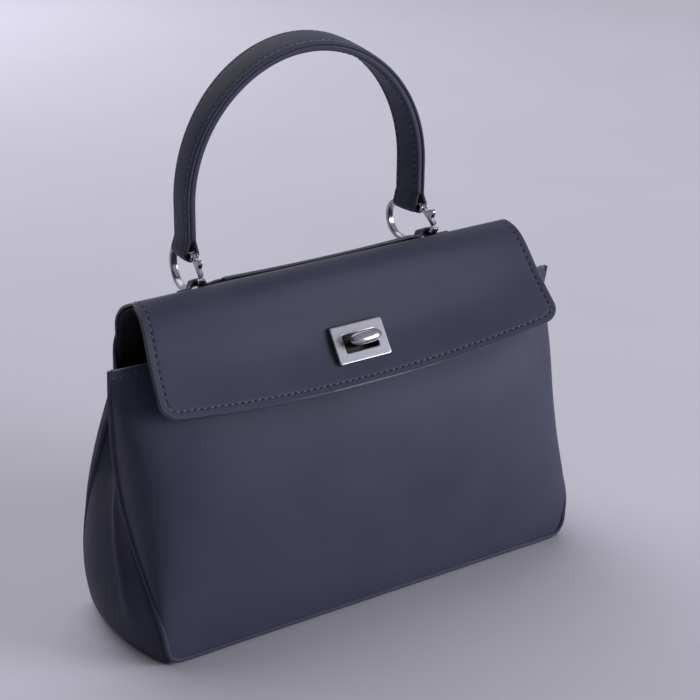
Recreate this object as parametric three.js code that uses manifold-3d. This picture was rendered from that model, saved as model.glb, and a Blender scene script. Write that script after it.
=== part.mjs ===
// Flap handbag with one stiff top handle, a turn lock and gated handle rings.
// Millimetres, +Z up, -Y is the front. The origin is on the floor under the middle of the base.
import * as THREE from 'three';
import { mergeVertices } from 'three/addons/utils/BufferGeometryUtils.js';
import Module from 'manifold-3d';

const wasm = await Module();
wasm.setup();

// Leather and seams
const LEATHER = 1.8;
const LINING = 0.8;
const LAYER_GAP = 0.8;
const SEAM_GAP = 2.9;
const CORNER_CUT = 5;
const CORNER_HEIGHT = 9;
const SEAM_MARGIN = 4.5;
const PIPING_RADIUS = 1.4;
const CORNER_POWER = 4;
const PANEL_LOW = 4.2;

// Body: rim height of the front panel, top of the back seams and half width of the arch
const RIM_Z = 175;
const BACK_SEAM_TOP = 163;
const ARCH_HALF = 131;
const SHOULDER_LOW = 154;
const SHOULDER_HIGH = 180;

// Front view of the body: heights and half widths at the front and back seams
const BASE_HALF = 142.5;
const FRONT_HALF = [[0, BASE_HALF], [12, 144.5], [35, 147.5], [80, 149.5], [130, 151], [RIM_Z, 153]];
const BACK_HALF = [[0, BASE_HALF], [12, 144], [35, 147], [70, 148], [100, 146.5], [130, 142.5],
  [160, 136.5], [SHOULDER_HIGH, ARCH_HALF]];

// Side view of the body: heights and depths of the panel middles and of the side seams
const FRONT_MIDDLE = [[0, -52], [15, -55], [45, -57.5], [75, -58], [105, -55], [125, -50], [141, -42],
  [160, -28.5], [RIM_Z, -21.8]];
const FRONT_SEAM = [[0, -52], [12, -53], [28, -51.5], [45, -43.5], [70, -27.5], [100, -15.5], [140, -14],
  [RIM_Z, -20]];
const BACK_MIDDLE = [[0, 46], [20, 49.5], [45, 50], [80, 45], [120, 35], [160, 22.5],
  [SHOULDER_HIGH, 17.5]];
const BACK_SEAM = [[0, 45], [30, 44.5], [70, 33], [115, 17], [150, 6], [SHOULDER_HIGH, 2]];
const GUSSET_BULGE = [[0, 8], [6, 11.5], [14, 13.5], [35, 12.5], [55, 9], [85, 2], [120, -7],
  [RIM_Z, -15]];
const GUSSET_FULLNESS = 0.65;
const GUSSET_LOW = 0.4;

// Piping: heights of its points on the side seams, then inset and height round a bottom corner
const PIPING_HEIGHTS = [150, 125, 100, 80, 64, 52, 42, 34, 26, 18, 10];
const PIPING_CORNER = [[1.5, 4], [8, 1.9], [40, 1.9]];
const FRONT_PIPING_TOP = 174;
const BACK_PIPING_TOP = 157;

// Steps of the sewn surfaces
const PANEL_ROWS = 11;
const PANEL_COLUMNS = 20;
const ARCH_ROWS = 5;
const GUSSET_ROWS = 12;
const GUSSET_COLUMNS = 8;
const FLAP_ROWS = 8;
const FLAP_COLUMNS = 16;
const PIPING_STEPS = 64;
const HANDLE_STEPS = 28;

// Arch over the top, from the back of the bag to the line where the flap bends
const ARCH = [[17.5, SHOULDER_HIGH], [16.3, 189.5], [9.5, 198], [0, 203.4], [-9, 205.8]];
const BEND = [-10, 205.8];
const BEND_GAP = 0.5;

// Flap: side view at its middle and at its side edges, from the bend to the bottom edge
const FLAP_MIDDLE = [BEND, [-18.5, 201.5], [-26.5, 184], [-36, 163], [-52.5, 142.5]];
const FLAP_SIDE = [BEND, [-21, 200], [-36, 178], [-45, 166], [-54.5, 154]];
const FLAP_BOTTOM_HALF = 139;
const FLAP_SLANT = 83;
const FLAP_CORNER = 11;
const FLAP_LEATHER = 1.6;
const FLAP_LINING = 1.0;
const FLAP_LAYER_GAP = 0.3;

// Base
const BASE_FRONT = -47.5;
const BASE_BACK = 41.5;
const BASE_SIDE = 134;
const BASE_BOW = 9;
const BOARD_THICKNESS = 2.5;
const BOARD_MARGIN = 6;
const BOARD_CORNER = 6;

// Turn lock: it lies on the flap, leaning back. Heights are along the lock's own axis, from the flap
// outwards.
const LOCK_Y = -36;
const LOCK_Z = 163;
const LOCK_LEAN = THREE.MathUtils.degToRad(32.5);
const FRAME_WIDTH = 36.4;
const FRAME_HEIGHT = 23;
const FRAME_THICKNESS = 2;
const FRAME_LIFT = 1.5;
const FRAME_CORNER = 1;
const FRAME_BACK_MARGIN = 3;
const FRAME_BACK_THICKNESS = 0.7;
const FRAME_BACK_HEIGHT = -4.6;
const SLOT_WIDTH = 22.6;
const SLOT_HEIGHT = 10.6;
const SLOT_DROP = 0.8;
const SLOT_CORNER = 1.5;
const SLOT_PLAY = 1;
const SLOT_CUT = 24;
const ROUND_END = 0.01;
const KNOB_LENGTH = 21;
const KNOB_WIDTH = 7.4;
const KNOB_THICKNESS = 5;
const KNOB_GAP = 0.4;
const POST_RADIUS = 2.6;
const POST_FOOT = -6.6;
const POST_TOP = 7;
const BORE_FLOOR = -3;
const STEM_RADIUS = 1.5;
const STEM_PLAY = 0.3;
const LOCK_PLATE_WIDTH = 24;
const LOCK_PLATE_HEIGHT = 12;
const LOCK_PLATE_THICKNESS = 0.8;
const WASHER_WIDTH = 26;
const WASHER_HEIGHT = 14;
const WASHER_CORNER = 3;
const WASHER_LEVEL = -13.4;

// Handle: three layers bent into half an ellipse on two straight legs. It leans forward, its legs toe out
// at the front, and its top rolls forward.
const HANDLE_Y = 24;
const HANDLE_LEAN = 0.05;
const HANDLE_TOE = THREE.MathUtils.degToRad(6);
const HANDLE_ROLL = THREE.MathUtils.degToRad(10);
const HANDLE_WIDTH = 21;
const HANDLE_HALF = 79.2;
const HANDLE_RISE = 85.2;
const HANDLE_SPRING_Z = 246;
const HANDLE_LAYER = 1.8;
const HANDLE_CORE = 1.5;
const HANDLE_LAYER_GAP = 0.25;
const TURN_RADIUS = 3.9;
const TURN_SWEEP = 0.15 * Math.PI;
const TURN_TIP_Z = 226;
const TURN_TIP_GAP = 1.5;

// Rings: straight top and bottom bars, a round back and a gate at the front
const RING_X = 79.5;
const RING_Z = 206.2;
const RING_AHEAD = 4.2;
const RING_TAPER = THREE.MathUtils.degToRad(23);
const RING_RADIUS = 12.5;
const RING_BACK = -11.5;
const RING_NOSE = 2.5;
const RING_NOSE_START = 17.5;
const RING_BAR = 2.8;
const RING_DEPTH = 4.4;
const GATE_TOP = [8.2, 12.1];
const GATE_FOOT = [19.6, 2.3];
const GATE_FOOT_GAP = 1.2;
const GATE_DEPTH = 2.6;
const GATE_HALF = 1.5;
const GATE_FIN = [[1.5, 2.4], [4, 6.4], [7, 6], [9, GATE_HALF]];
const GATE_EYE = 1.9;
const GATE_PLAY = 0.3;
const EAR_BACK = 4;
const BAND_END = 2.6;
const PIN_RADIUS = 0.7;
const PIN_PLAY = 0.08;

// Leather tabs over the rings' bottom bars
const TAB_CENTRE = 9;
const TAB_HALF_WIDTH = 4.5;
const TAB_HALF_LENGTH = 13;
const TAB_CREST_HALF = 3.5;
const TAB_CLEARANCE = 0.8;
const TAB_FOOT = 4;
const TAB_FOOT_GAP = 1.7;
const TAB_LEATHER = 1.6;

// Leather strip along the ridge between the tabs; it lies between two depths behind the bend and lifts
// a little towards the rings
const RIDGE_HALF = 65;
const RIDGE_FRONT = 3;
const RIDGE_BACK = 12.5;
const RIDGE_LIFT = 1.2;
const RIDGE_LEATHER = 1.8;
const RIDGE_GAP = 0.3;

const LEATHER_FINISH = { color: 0x44465a, roughness: 0.5, metalness: 0 };
const SIDE_FINISH = { color: 0x3c3e4c, roughness: 0.52, metalness: 0 };
const LINING_FINISH = { color: 0x2c2c34, roughness: 0.9, metalness: 0 };
const BOARD_FINISH = { color: 0x8a8378, roughness: 0.9, metalness: 0 };
const NICKEL_FINISH = { color: 0xc9c9cd, roughness: 0.22, metalness: 1 };

const bag = new THREE.Group();

function addPiece(name, geometry, finish, parent = bag) {
  const mesh = new THREE.Mesh(geometry, new THREE.MeshStandardMaterial(finish));
  mesh.name = name;
  parent.add(mesh);
  return mesh;
}

// Smooth height-to-depth curve through a few knots, with finite-difference slopes at the knots.
function profile(knots) {
  const slope = knots.map((knot, i) => {
    const before = knots[Math.max(i - 1, 0)];
    const after = knots[Math.min(i + 1, knots.length - 1)];
    return (after[1] - before[1]) / (after[0] - before[0]);
  });
  return (height) => {
    let i = 0;
    while (i < knots.length - 2 && height > knots[i + 1][0]) i += 1;
    const [h0, d0] = knots[i];
    const [h1, d1] = knots[i + 1];
    const span = h1 - h0;
    const t = (height - h0) / span;
    const rise = (1 + 2 * t) * (1 - t) ** 2 * d0 + t * t * (3 - 2 * t) * d1;
    return rise + span * (t * (1 - t) ** 2 * slope[i] + t * t * (t - 1) * slope[i + 1]);
  };
}

const frontMiddle = profile(FRONT_MIDDLE);
const frontSeam = profile(FRONT_SEAM);
const backMiddle = profile(BACK_MIDDLE);
const backSeam = profile(BACK_SEAM);
const gussetBulge = profile(GUSSET_BULGE);
const frontHalf = profile(FRONT_HALF);
const backHalf = profile(BACK_HALF);

// Even levels with one narrow step, a seam margin, at each end.
function marginLevels(low, high, count) {
  return [low, ...levels(low + SEAM_MARGIN, high - SEAM_MARGIN, count - 2), high];
}

// Points along a polyline, leaving trim off each end.
function pointsAlong(points, count, trim) {
  const path = new THREE.CurvePath();
  for (let i = 1; i < points.length; i += 1) path.add(new THREE.LineCurve3(points[i - 1], points[i]));
  const length = path.getLength();
  return marginLevels(trim, length - trim, count).map((along) => path.getPointAt(along / length));
}

// One level of a panel: flat in the middle, its sides bending round to the seams like a superellipse.
function panelRow(half, seamY, middleY, z, columns, trim) {
  const samples = 48;
  const points = Array.from({ length: samples + 1 }, (_, i) => {
    const angle = Math.PI * (1 - i / samples);
    const across = Math.sign(Math.cos(angle)) * Math.abs(Math.cos(angle)) ** (2 / CORNER_POWER);
    const forward = Math.max(Math.sin(angle), 0) ** (2 / CORNER_POWER);
    return new THREE.Vector3(half * across, seamY + (middleY - seamY) * forward, z);
  });
  return pointsAlong(points, columns, trim);
}

// The grid pushed in by a depth along its normals; columns x rows points outwards.
function sunkGrid(grid, depth) {
  const within = (list, i) => list[THREE.MathUtils.clamp(i, 0, list.length - 1)];
  const place = (r, c) => within(within(grid, r), c);
  return grid.map((row, r) => row.map((point, c) => {
    const along = place(r, c + 1).clone().sub(place(r, c - 1));
    const up = place(r + 1, c).clone().sub(place(r - 1, c));
    return point.clone().addScaledVector(along.cross(up).normalize(), -depth);
  }));
}

// Closed sheet between two depths under a grid, leaving off a margin of whole steps all round.
function sheet(grid, nearDepth, farDepth, margin = 0) {
  const faces = [nearDepth, farDepth].map((depth) => sunkGrid(grid, depth)
    .slice(margin, grid.length - margin).map((row) => row.slice(margin, row.length - margin)));
  const rows = faces[0].length;
  const columns = faces[0][0].length;
  const positions = faces.flat(2).flatMap((point) => point.toArray());
  const under = rows * columns;
  const index = [];
  for (let r = 0; r < rows - 1; r += 1) {
    for (let c = 0; c < columns - 1; c += 1) {
      const a = r * columns + c;
      const d = a + columns;
      index.push(a, a + 1, d + 1, a, d + 1, d);
      index.push(under + a, under + d + 1, under + a + 1, under + a, under + d, under + d + 1);
    }
  }
  const rim = [];
  for (let c = 0; c < columns - 1; c += 1) rim.push(c);
  for (let r = 0; r < rows - 1; r += 1) rim.push(r * columns + columns - 1);
  for (let c = columns - 1; c > 0; c -= 1) rim.push((rows - 1) * columns + c);
  for (let r = rows - 1; r > 0; r -= 1) rim.push(r * columns);
  rim.forEach((p, i) => {
    const q = rim[(i + 1) % rim.length];
    index.push(q, p, under + p, q, under + p, under + q);
  });
  const geometry = new THREE.BufferGeometry();
  geometry.setAttribute('position', new THREE.Float32BufferAttribute(positions, 3));
  geometry.setIndex(index);
  return geometry;
}

function toSolid(geometry) {
  const plain = geometry.clone();
  plain.deleteAttribute('normal');
  plain.deleteAttribute('uv');
  const merged = mergeVertices(plain, 1e-4);
  return new wasm.Manifold(new wasm.Mesh({
    numProp: 3,
    vertProperties: Float32Array.from(merged.attributes.position.array),
    triVerts: Uint32Array.from(merged.index.array),
  }));
}

function toGeometry(solid) {
  const mesh = solid.getMesh();
  const geometry = new THREE.BufferGeometry();
  geometry.setAttribute('position', new THREE.BufferAttribute(Float32Array.from(mesh.vertProperties), 3));
  geometry.setIndex(Array.from(mesh.triVerts));
  return geometry;
}

function levels(low, high, count) {
  return Array.from({ length: count + 1 }, (_, i) => THREE.MathUtils.lerp(low, high, i / count));
}

// Seam lines as points in space; side is -1 on the left and +1 on the right.
function frontSeamPoint(side, z) {
  return new THREE.Vector3(side * frontHalf(z), frontSeam(z), z);
}

function backSeamPoint(side, z) {
  return new THREE.Vector3(side * backHalf(z), backSeam(z), z);
}

// The panels stop short of the piping, and a little more at its bottom corners.
function seamTrim(z) {
  const rise = THREE.MathUtils.smoothstep(z, PANEL_LOW, PANEL_LOW + CORNER_HEIGHT);
  return SEAM_GAP + CORNER_CUT * (1 - rise);
}

function frontGrid() {
  return marginLevels(PANEL_LOW, RIM_Z, PANEL_ROWS).map((z) => (
    panelRow(frontHalf(z), frontSeam(z), frontMiddle(z), z, PANEL_COLUMNS, seamTrim(z))));
}

// The back rows run from right to left, so that they face backwards.
function backGrid() {
  const heights = [PANEL_LOW, ...levels(PANEL_LOW + SEAM_MARGIN, SHOULDER_HIGH, PANEL_ROWS - 1)];
  return heights.map((z) => {
    const fade = THREE.MathUtils.smoothstep(z, SHOULDER_LOW, SHOULDER_HIGH);
    const seam = THREE.MathUtils.lerp(backSeam(z), backMiddle(z), fade);
    return panelRow(backHalf(z), seam, backMiddle(z), z, PANEL_COLUMNS, seamTrim(z)).reverse();
  });
}

function archCurve() {
  return new THREE.CatmullRomCurve3(ARCH.map(([y, z]) => new THREE.Vector3(0, y, z)));
}

function archGrid() {
  const curve = archCurve();
  const half = ARCH_HALF - SEAM_GAP;
  return levels(0, 1, ARCH_ROWS).slice(1).map((t) => {
    const { y, z } = curve.getPointAt(t);
    return marginLevels(-half, half, PANEL_COLUMNS).map((x) => new THREE.Vector3(-x, y, z));
  });
}

// Side panel from seam to seam, bulging out low down and folding in near the mouth.
function gussetGrid(side) {
  return marginLevels(GUSSET_LOW, RIM_Z, GUSSET_ROWS).map((z) => {
    const rise = (z - GUSSET_LOW) / (RIM_Z - GUSSET_LOW);
    const front = frontSeamPoint(side, z);
    const back = backSeamPoint(side, THREE.MathUtils.lerp(GUSSET_LOW, BACK_SEAM_TOP, rise));
    const width = front.distanceTo(back);
    const row = marginLevels(SEAM_GAP, width - SEAM_GAP, GUSSET_COLUMNS).map((along) => {
      const v = along / width;
      const point = front.clone().lerp(back, v);
      point.x += side * gussetBulge(point.z) * Math.sin(Math.PI * v) ** GUSSET_FULLNESS;
      return point;
    });
    return side > 0 ? row : row.reverse();
  });
}

// Cord from the left rim down the seam, along the bottom edge and up to the right rim.
function pipingGeometry(seamPoint, high, bottomY) {
  const heights = [high, ...PIPING_HEIGHTS];
  const sides = [-1, 1].map((side) => [
    ...heights.map((z) => seamPoint(side, z)),
    ...PIPING_CORNER.map(([inset, z]) => new THREE.Vector3(side * (BASE_HALF - inset), bottomY, z)),
  ]);
  const path = new THREE.CatmullRomCurve3([...sides[0], ...sides[1].reverse()], false, 'centripetal');
  const section = new THREE.Shape();
  section.absarc(0, 0, PIPING_RADIUS, 0, 2 * Math.PI, true);
  return new THREE.ExtrudeGeometry(section, {
    steps: PIPING_STEPS,
    curveSegments: 3,
    bevelEnabled: false,
    extrudePath: path,
  });
}

// Rectangle with round corners about the origin.
function plate(width, height, corner) {
  const shape = new THREE.Shape();
  const x = width / 2 - corner;
  const y = height / 2 - corner;
  shape.absarc(x, y, corner, 0, Math.PI / 2);
  shape.absarc(-x, y, corner, Math.PI / 2, Math.PI);
  shape.absarc(-x, -y, corner, Math.PI, 1.5 * Math.PI);
  shape.absarc(x, -y, corner, 1.5 * Math.PI, 2 * Math.PI);
  return shape;
}

// Base outline: straight long edges, and ends that bow out under the full gussets.
function baseShape(half, depth, bow) {
  const shape = new THREE.Shape();
  shape.moveTo(-half, -depth / 2);
  shape.lineTo(half, -depth / 2);
  shape.quadraticCurveTo(half + 2 * bow, 0, half, depth / 2);
  shape.lineTo(-half, depth / 2);
  shape.quadraticCurveTo(-half - 2 * bow, 0, -half, -depth / 2);
  return shape;
}

function prism(shape, depth, low = 0, curveSegments = 4) {
  const geometry = new THREE.ExtrudeGeometry(shape, { depth, bevelEnabled: false, curveSegments });
  return geometry.translate(0, 0, low);
}

function buildBody() {
  const skin = LEATHER + LAYER_GAP;
  const wall = skin + LINING;
  const front = frontGrid();
  addPiece('front_panel', sheet(front, 0, LEATHER), LEATHER_FINISH);
  addPiece('front_lining', sheet(front, skin, wall, 1), LINING_FINISH);

  const back = backGrid().concat(archGrid());
  addPiece('back_panel', sheet(back, 0, LEATHER), LEATHER_FINISH);
  addPiece('back_lining', sheet(back, skin, wall, 1), LINING_FINISH);

  for (const [side, word] of [[-1, 'left'], [1, 'right']]) {
    const gusset = gussetGrid(side);
    addPiece(`${word}_gusset`, sheet(gusset, 0, LEATHER), SIDE_FINISH);
    addPiece(`${word}_lining`, sheet(gusset, skin, wall, 1), LINING_FINISH);
  }

  const middle = (BASE_FRONT + BASE_BACK) / 2;
  const depth = BASE_BACK - BASE_FRONT;
  const panel = baseShape(BASE_SIDE, depth, BASE_BOW);
  const board = plate(2 * (BASE_SIDE - BOARD_MARGIN), depth - 2 * BOARD_MARGIN, BOARD_CORNER);
  const liningLow = skin + BOARD_THICKNESS + LAYER_GAP;
  addPiece('base_panel', prism(panel, LEATHER), SIDE_FINISH).position.y = middle;
  addPiece('base_board', prism(board, BOARD_THICKNESS, skin), BOARD_FINISH).position.y = middle;
  addPiece('base_lining', prism(board, LINING, liningLow), LINING_FINISH).position.y = middle;

  const frontCord = pipingGeometry(frontSeamPoint, FRONT_PIPING_TOP, frontSeam(0));
  const backCord = pipingGeometry(backSeamPoint, BACK_PIPING_TOP, backSeam(0));
  addPiece('front_piping', frontCord, SIDE_FINISH);
  addPiece('back_piping', backCord, SIDE_FINISH);
}

// Flap surface: its side view turns from the middle curve to the side curve towards the edges.
function flapPoint(across, down) {
  const [middle, side] = [FLAP_MIDDLE, FLAP_SIDE].map((knots) => (
    new THREE.CatmullRomCurve3(knots.map(([y, z]) => new THREE.Vector3(0, y, z)))).getPointAt(down));
  const half = THREE.MathUtils.lerp(ARCH_HALF, FLAP_BOTTOM_HALF, down);
  const point = middle.lerp(side, across * across);
  point.x = across * half;
  return point;
}

// Rows go from the bottom edge up to the bend; the lowest rows draw in round the corners.
function flapGrid() {
  const corner = [0, 0.09, 0.3, 0.6, 1].map((f) => THREE.MathUtils.lerp(BEND_GAP, FLAP_CORNER, f));
  const plain = levels(FLAP_CORNER, FLAP_SLANT - BEND_GAP, FLAP_ROWS).slice(1);
  return [...corner, ...plain].map((rise) => {
    const lift = Math.max(FLAP_CORNER - rise, 0);
    const drawn = FLAP_CORNER - Math.sqrt(Math.max(FLAP_CORNER ** 2 - lift ** 2, 0));
    const reach = 1 - (drawn + BEND_GAP) / FLAP_BOTTOM_HALF;
    return levels(-reach, reach, FLAP_COLUMNS).map((across) => flapPoint(across, 1 - rise / FLAP_SLANT));
  });
}

function lockGroup() {
  const group = new THREE.Group();
  group.position.set(0, LOCK_Y, LOCK_Z);
  group.rotation.x = Math.PI / 2 - LOCK_LEAN;
  group.updateMatrixWorld(true);
  return group;
}

function slottedPlate(width, height, play) {
  const shape = plate(width, height, FRAME_CORNER);
  const slot = plate(SLOT_WIDTH + play, SLOT_HEIGHT + play, SLOT_CORNER);
  shape.holes.push(new THREE.Path(slot.getPoints(3)));
  return shape;
}

function buildFlap() {
  const lock = lockGroup();
  const slot = plate(SLOT_WIDTH + SLOT_PLAY, SLOT_HEIGHT + SLOT_PLAY, SLOT_HEIGHT / 2);
  const cutter = prism(slot, SLOT_CUT, -SLOT_CUT / 2).translate(0, -SLOT_DROP, 0);
  const hole = toSolid(cutter.applyMatrix4(lock.matrixWorld));
  const cut = (geometry) => toGeometry(toSolid(geometry).subtract(hole));
  const under = FLAP_LEATHER + FLAP_LAYER_GAP;
  const flap = flapGrid();
  addPiece('flap_outer', cut(sheet(flap, 0, FLAP_LEATHER)), LEATHER_FINISH);
  addPiece('flap_lining', cut(sheet(flap, under, under + FLAP_LINING)), LEATHER_FINISH);

  const face = new THREE.Group();
  face.position.y = -SLOT_DROP;
  lock.add(face);
  const frame = slottedPlate(FRAME_WIDTH, FRAME_HEIGHT, 0);
  const back = slottedPlate(FRAME_WIDTH - FRAME_BACK_MARGIN, FRAME_HEIGHT - FRAME_BACK_MARGIN, SLOT_PLAY);
  addPiece('lock_frame', prism(frame, FRAME_THICKNESS, FRAME_LIFT), NICKEL_FINISH, face);
  addPiece('lock_frame_back', prism(back, FRAME_BACK_THICKNESS, FRAME_BACK_HEIGHT), NICKEL_FINISH, face);
  bag.add(lock);
}

// Solid turned about the lock's axis from pairs of radius and height.
function turned(pairs, steps) {
  const outline = pairs.map(([radius, height]) => new THREE.Vector2(radius, height));
  return toSolid(new THREE.LatheGeometry(outline, steps).rotateX(Math.PI / 2));
}

function buildLock() {
  const lock = lockGroup();
  const bore = STEM_RADIUS + STEM_PLAY;
  const post = turned([[0, POST_FOOT], [POST_RADIUS, POST_FOOT], [POST_RADIUS, POST_TOP],
    [bore, POST_TOP], [bore, BORE_FLOOR], [0, BORE_FLOOR]], 20);
  const foot = plate(LOCK_PLATE_WIDTH, LOCK_PLATE_HEIGHT, LOCK_PLATE_HEIGHT / 2 - ROUND_END);
  const footSolid = toSolid(prism(foot, LOCK_PLATE_THICKNESS, POST_FOOT));
  addPiece('lock_base', toGeometry(footSolid.add(post)), NICKEL_FINISH, lock);

  const stemLow = BORE_FLOOR + KNOB_GAP;
  const stemHigh = POST_TOP + KNOB_GAP + KNOB_THICKNESS / 2;
  const stem = turned([[0, stemLow], [STEM_RADIUS, stemLow], [STEM_RADIUS, stemHigh], [0, stemHigh]], 16);
  const bar = plate(KNOB_LENGTH, KNOB_WIDTH, KNOB_WIDTH / 2 - ROUND_END);
  const barSolid = toSolid(prism(bar, KNOB_THICKNESS, POST_TOP + KNOB_GAP));
  addPiece('turn_knob', toGeometry(barSolid.add(stem)), NICKEL_FINISH, lock);

  const washer = plate(WASHER_WIDTH, WASHER_HEIGHT, WASHER_CORNER);
  addPiece('lock_washer', prism(washer, LOCK_PLATE_THICKNESS, WASHER_LEVEL), NICKEL_FINISH, lock);
  bag.add(lock);
}

// Side outline of one handle layer: from the left end over the arch to the right end.
function archPath(offset, endZ) {
  const half = HANDLE_HALF + offset;
  const rise = HANDLE_RISE + offset;
  const over = levels(Math.PI, 0, HANDLE_STEPS).map((angle) => (
    new THREE.Vector2(half * Math.cos(angle), HANDLE_SPRING_Z + rise * Math.sin(angle))));
  return [new THREE.Vector2(-half, endZ), ...over, new THREE.Vector2(half, endZ)];
}

// The outer layer goes down round the ring bar at each end and up again inside the leg.
function outerPath(offset) {
  const centre = new THREE.Vector2(RING_X, ringTopZ());
  const turn = levels(-TURN_SWEEP, Math.PI + TURN_SWEEP, 14).map((angle) => new THREE.Vector2(
    centre.x + TURN_RADIUS * Math.cos(angle),
    centre.y - TURN_RADIUS * Math.sin(angle),
  ));
  const rightEnd = [...turn, new THREE.Vector2(HANDLE_HALF - offset, TURN_TIP_Z)];
  const leftEnd = rightEnd.map((p) => new THREE.Vector2(-p.x, p.y)).reverse();
  return [...leftEnd, ...archPath(offset, TURN_TIP_Z), ...rightEnd];
}

// Height of the ring's top bar, which the strap goes round.
function ringTopZ() {
  return RING_Z + RING_RADIUS;
}

// Outline of a band of even width along a centre line.
function bandShape(line, width) {
  const sides = [1, -1].map((side) => line.map((point, i) => {
    const before = line[Math.max(i - 1, 0)];
    const after = line[Math.min(i + 1, line.length - 1)];
    const way = after.clone().sub(before).normalize().multiplyScalar(side * width / 2);
    return new THREE.Vector2(point.x - way.y, point.y + way.x);
  }));
  return new THREE.Shape([...sides[0], ...sides[1].reverse()]);
}

// Layer of the strap along a side outline, then leant forward, spread towards the front and rolled.
function strapGeometry(path, thickness, width) {
  const layer = prism(bandShape(path, thickness), width).rotateX(Math.PI / 2).translate(0, width / 2, 0);
  const place = layer.attributes.position;
  for (let i = 0; i < place.count; i += 1) {
    const [x, y, z] = [place.getX(i), place.getY(i), place.getZ(i)];
    const spread = 1 - Math.tan(HANDLE_TOE) * y / RING_X;
    const rolled = THREE.MathUtils.smoothstep(z, HANDLE_SPRING_Z, HANDLE_SPRING_Z + HANDLE_RISE);
    const lean = HANDLE_LEAN * (z - ringTopZ());
    place.setXYZ(i, x * spread, HANDLE_Y + y - lean, z + y * Math.tan(HANDLE_ROLL) * rolled);
  }
  return layer;
}

function buildHandle() {
  const offset = (HANDLE_CORE + HANDLE_LAYER) / 2 + HANDLE_LAYER_GAP;
  const outer = strapGeometry(outerPath(offset), HANDLE_LAYER, HANDLE_WIDTH);
  const core = strapGeometry(archPath(0, TURN_TIP_Z), HANDLE_CORE, HANDLE_WIDTH - HANDLE_CORE);
  const lining = strapGeometry(archPath(-offset, TURN_TIP_Z + TURN_TIP_GAP), HANDLE_LAYER, HANDLE_WIDTH);
  addPiece('handle_outer', outer, LEATHER_FINISH);
  addPiece('handle_core', core, BOARD_FINISH);
  addPiece('handle_lining', lining, LEATHER_FINISH);
}

// Height of the ring's bottom bar in the ring's plane; the bar rises towards the front.
function bottomBar(along) {
  const turned = 1.5 * Math.PI + RING_TAPER;
  const start = RING_BACK + RING_RADIUS * Math.cos(turned);
  return RING_RADIUS * Math.sin(turned) + (along - start) * Math.tan(RING_TAPER);
}

// Ring centre line in its own plane: first number towards the front, second upwards.
function ringLine() {
  const turn = (x, y, radius, from, to, steps) => levels(from, to, steps).map((angle) => (
    new THREE.Vector2(x + radius * Math.cos(angle), y + radius * Math.sin(angle))));
  const noseX = RING_NOSE_START - RING_NOSE * Math.sin(RING_TAPER);
  const noseY = bottomBar(RING_NOSE_START) + RING_NOSE * Math.cos(RING_TAPER);
  return [
    new THREE.Vector2(GATE_TOP[0] - BAND_END, RING_RADIUS),
    ...turn(RING_BACK, 0, RING_RADIUS, Math.PI / 2, 1.5 * Math.PI + RING_TAPER, 16),
    ...turn(noseX, noseY, RING_NOSE, RING_TAPER - Math.PI / 2, 0, 6),
  ];
}

// Ring plane set upright: the drawing's x axis points to the front and outwards, its y axis up.
function ringGroup(side) {
  const plane = new THREE.Group();
  const forward = new THREE.Vector3(side * Math.sin(HANDLE_TOE), -Math.cos(HANDLE_TOE), 0);
  const up = new THREE.Vector3(0, 0, 1);
  const turn = new THREE.Matrix4().makeBasis(forward, up, forward.clone().cross(up));
  plane.quaternion.setFromRotationMatrix(turn);
  plane.position.set(side * RING_X, HANDLE_Y, RING_Z).addScaledVector(forward, RING_AHEAD);
  plane.updateMatrixWorld(true);
  bag.add(plane);
  return plane;
}

function roundHole(x, y) {
  const hole = new THREE.Path();
  hole.absarc(x, y, PIN_RADIUS + PIN_PLAY, 0, 2 * Math.PI, true);
  return hole;
}

// Cheek beside the gate's eye, cut from the end of the ring's top bar.
function earShape() {
  const [x, y] = GATE_TOP;
  const ear = new THREE.Shape();
  ear.moveTo(x - EAR_BACK, y + GATE_EYE);
  ear.lineTo(x - EAR_BACK, y - GATE_EYE / 2);
  ear.absarc(x, y, GATE_EYE, -Math.PI / 2, Math.PI / 2);
  ear.holes.push(roundHole(x, y));
  return ear;
}

// Gate arm along its own x axis, from the eye to the foot, with a thumb fin on its outer side.
function gateShape(length) {
  const gate = new THREE.Shape();
  gate.absarc(0, 0, GATE_EYE - GATE_PLAY, 0.2 * Math.PI, 1.8 * Math.PI);
  gate.lineTo(length, -GATE_HALF);
  gate.lineTo(length, GATE_HALF);
  for (const [inset, height] of GATE_FIN) gate.lineTo(length - inset, height);
  gate.holes.push(roundHole(0, 0));
  return gate;
}

function buildRing(plane, word) {
  const half = RING_DEPTH / 2;
  const band = toSolid(prism(bandShape(ringLine(), RING_BAR), RING_DEPTH, -half));
  const earDepth = half - GATE_DEPTH / 2 - GATE_PLAY;
  const ears = [half - earDepth, -half].map((low) => toSolid(prism(earShape(), earDepth, low, 6)));
  addPiece(`${word}_ring`, toGeometry(band.add(ears[0]).add(ears[1])), NICKEL_FINISH, plane);

  const [x, y] = GATE_TOP;
  const way = new THREE.Vector2(...GATE_FOOT).sub(new THREE.Vector2(x, y));
  const arm = prism(gateShape(way.length() - GATE_FOOT_GAP), GATE_DEPTH, -GATE_DEPTH / 2, 6);
  addPiece(`${word}_gate`, arm.rotateZ(way.angle()).translate(x, y, 0), NICKEL_FINISH, plane);
  const pin = new THREE.CylinderGeometry(PIN_RADIUS, PIN_RADIUS, RING_DEPTH, 12).rotateX(Math.PI / 2);
  addPiece(`${word}_gate_pin`, pin.translate(x, y, 0), NICKEL_FINISH, plane);
}

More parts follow.
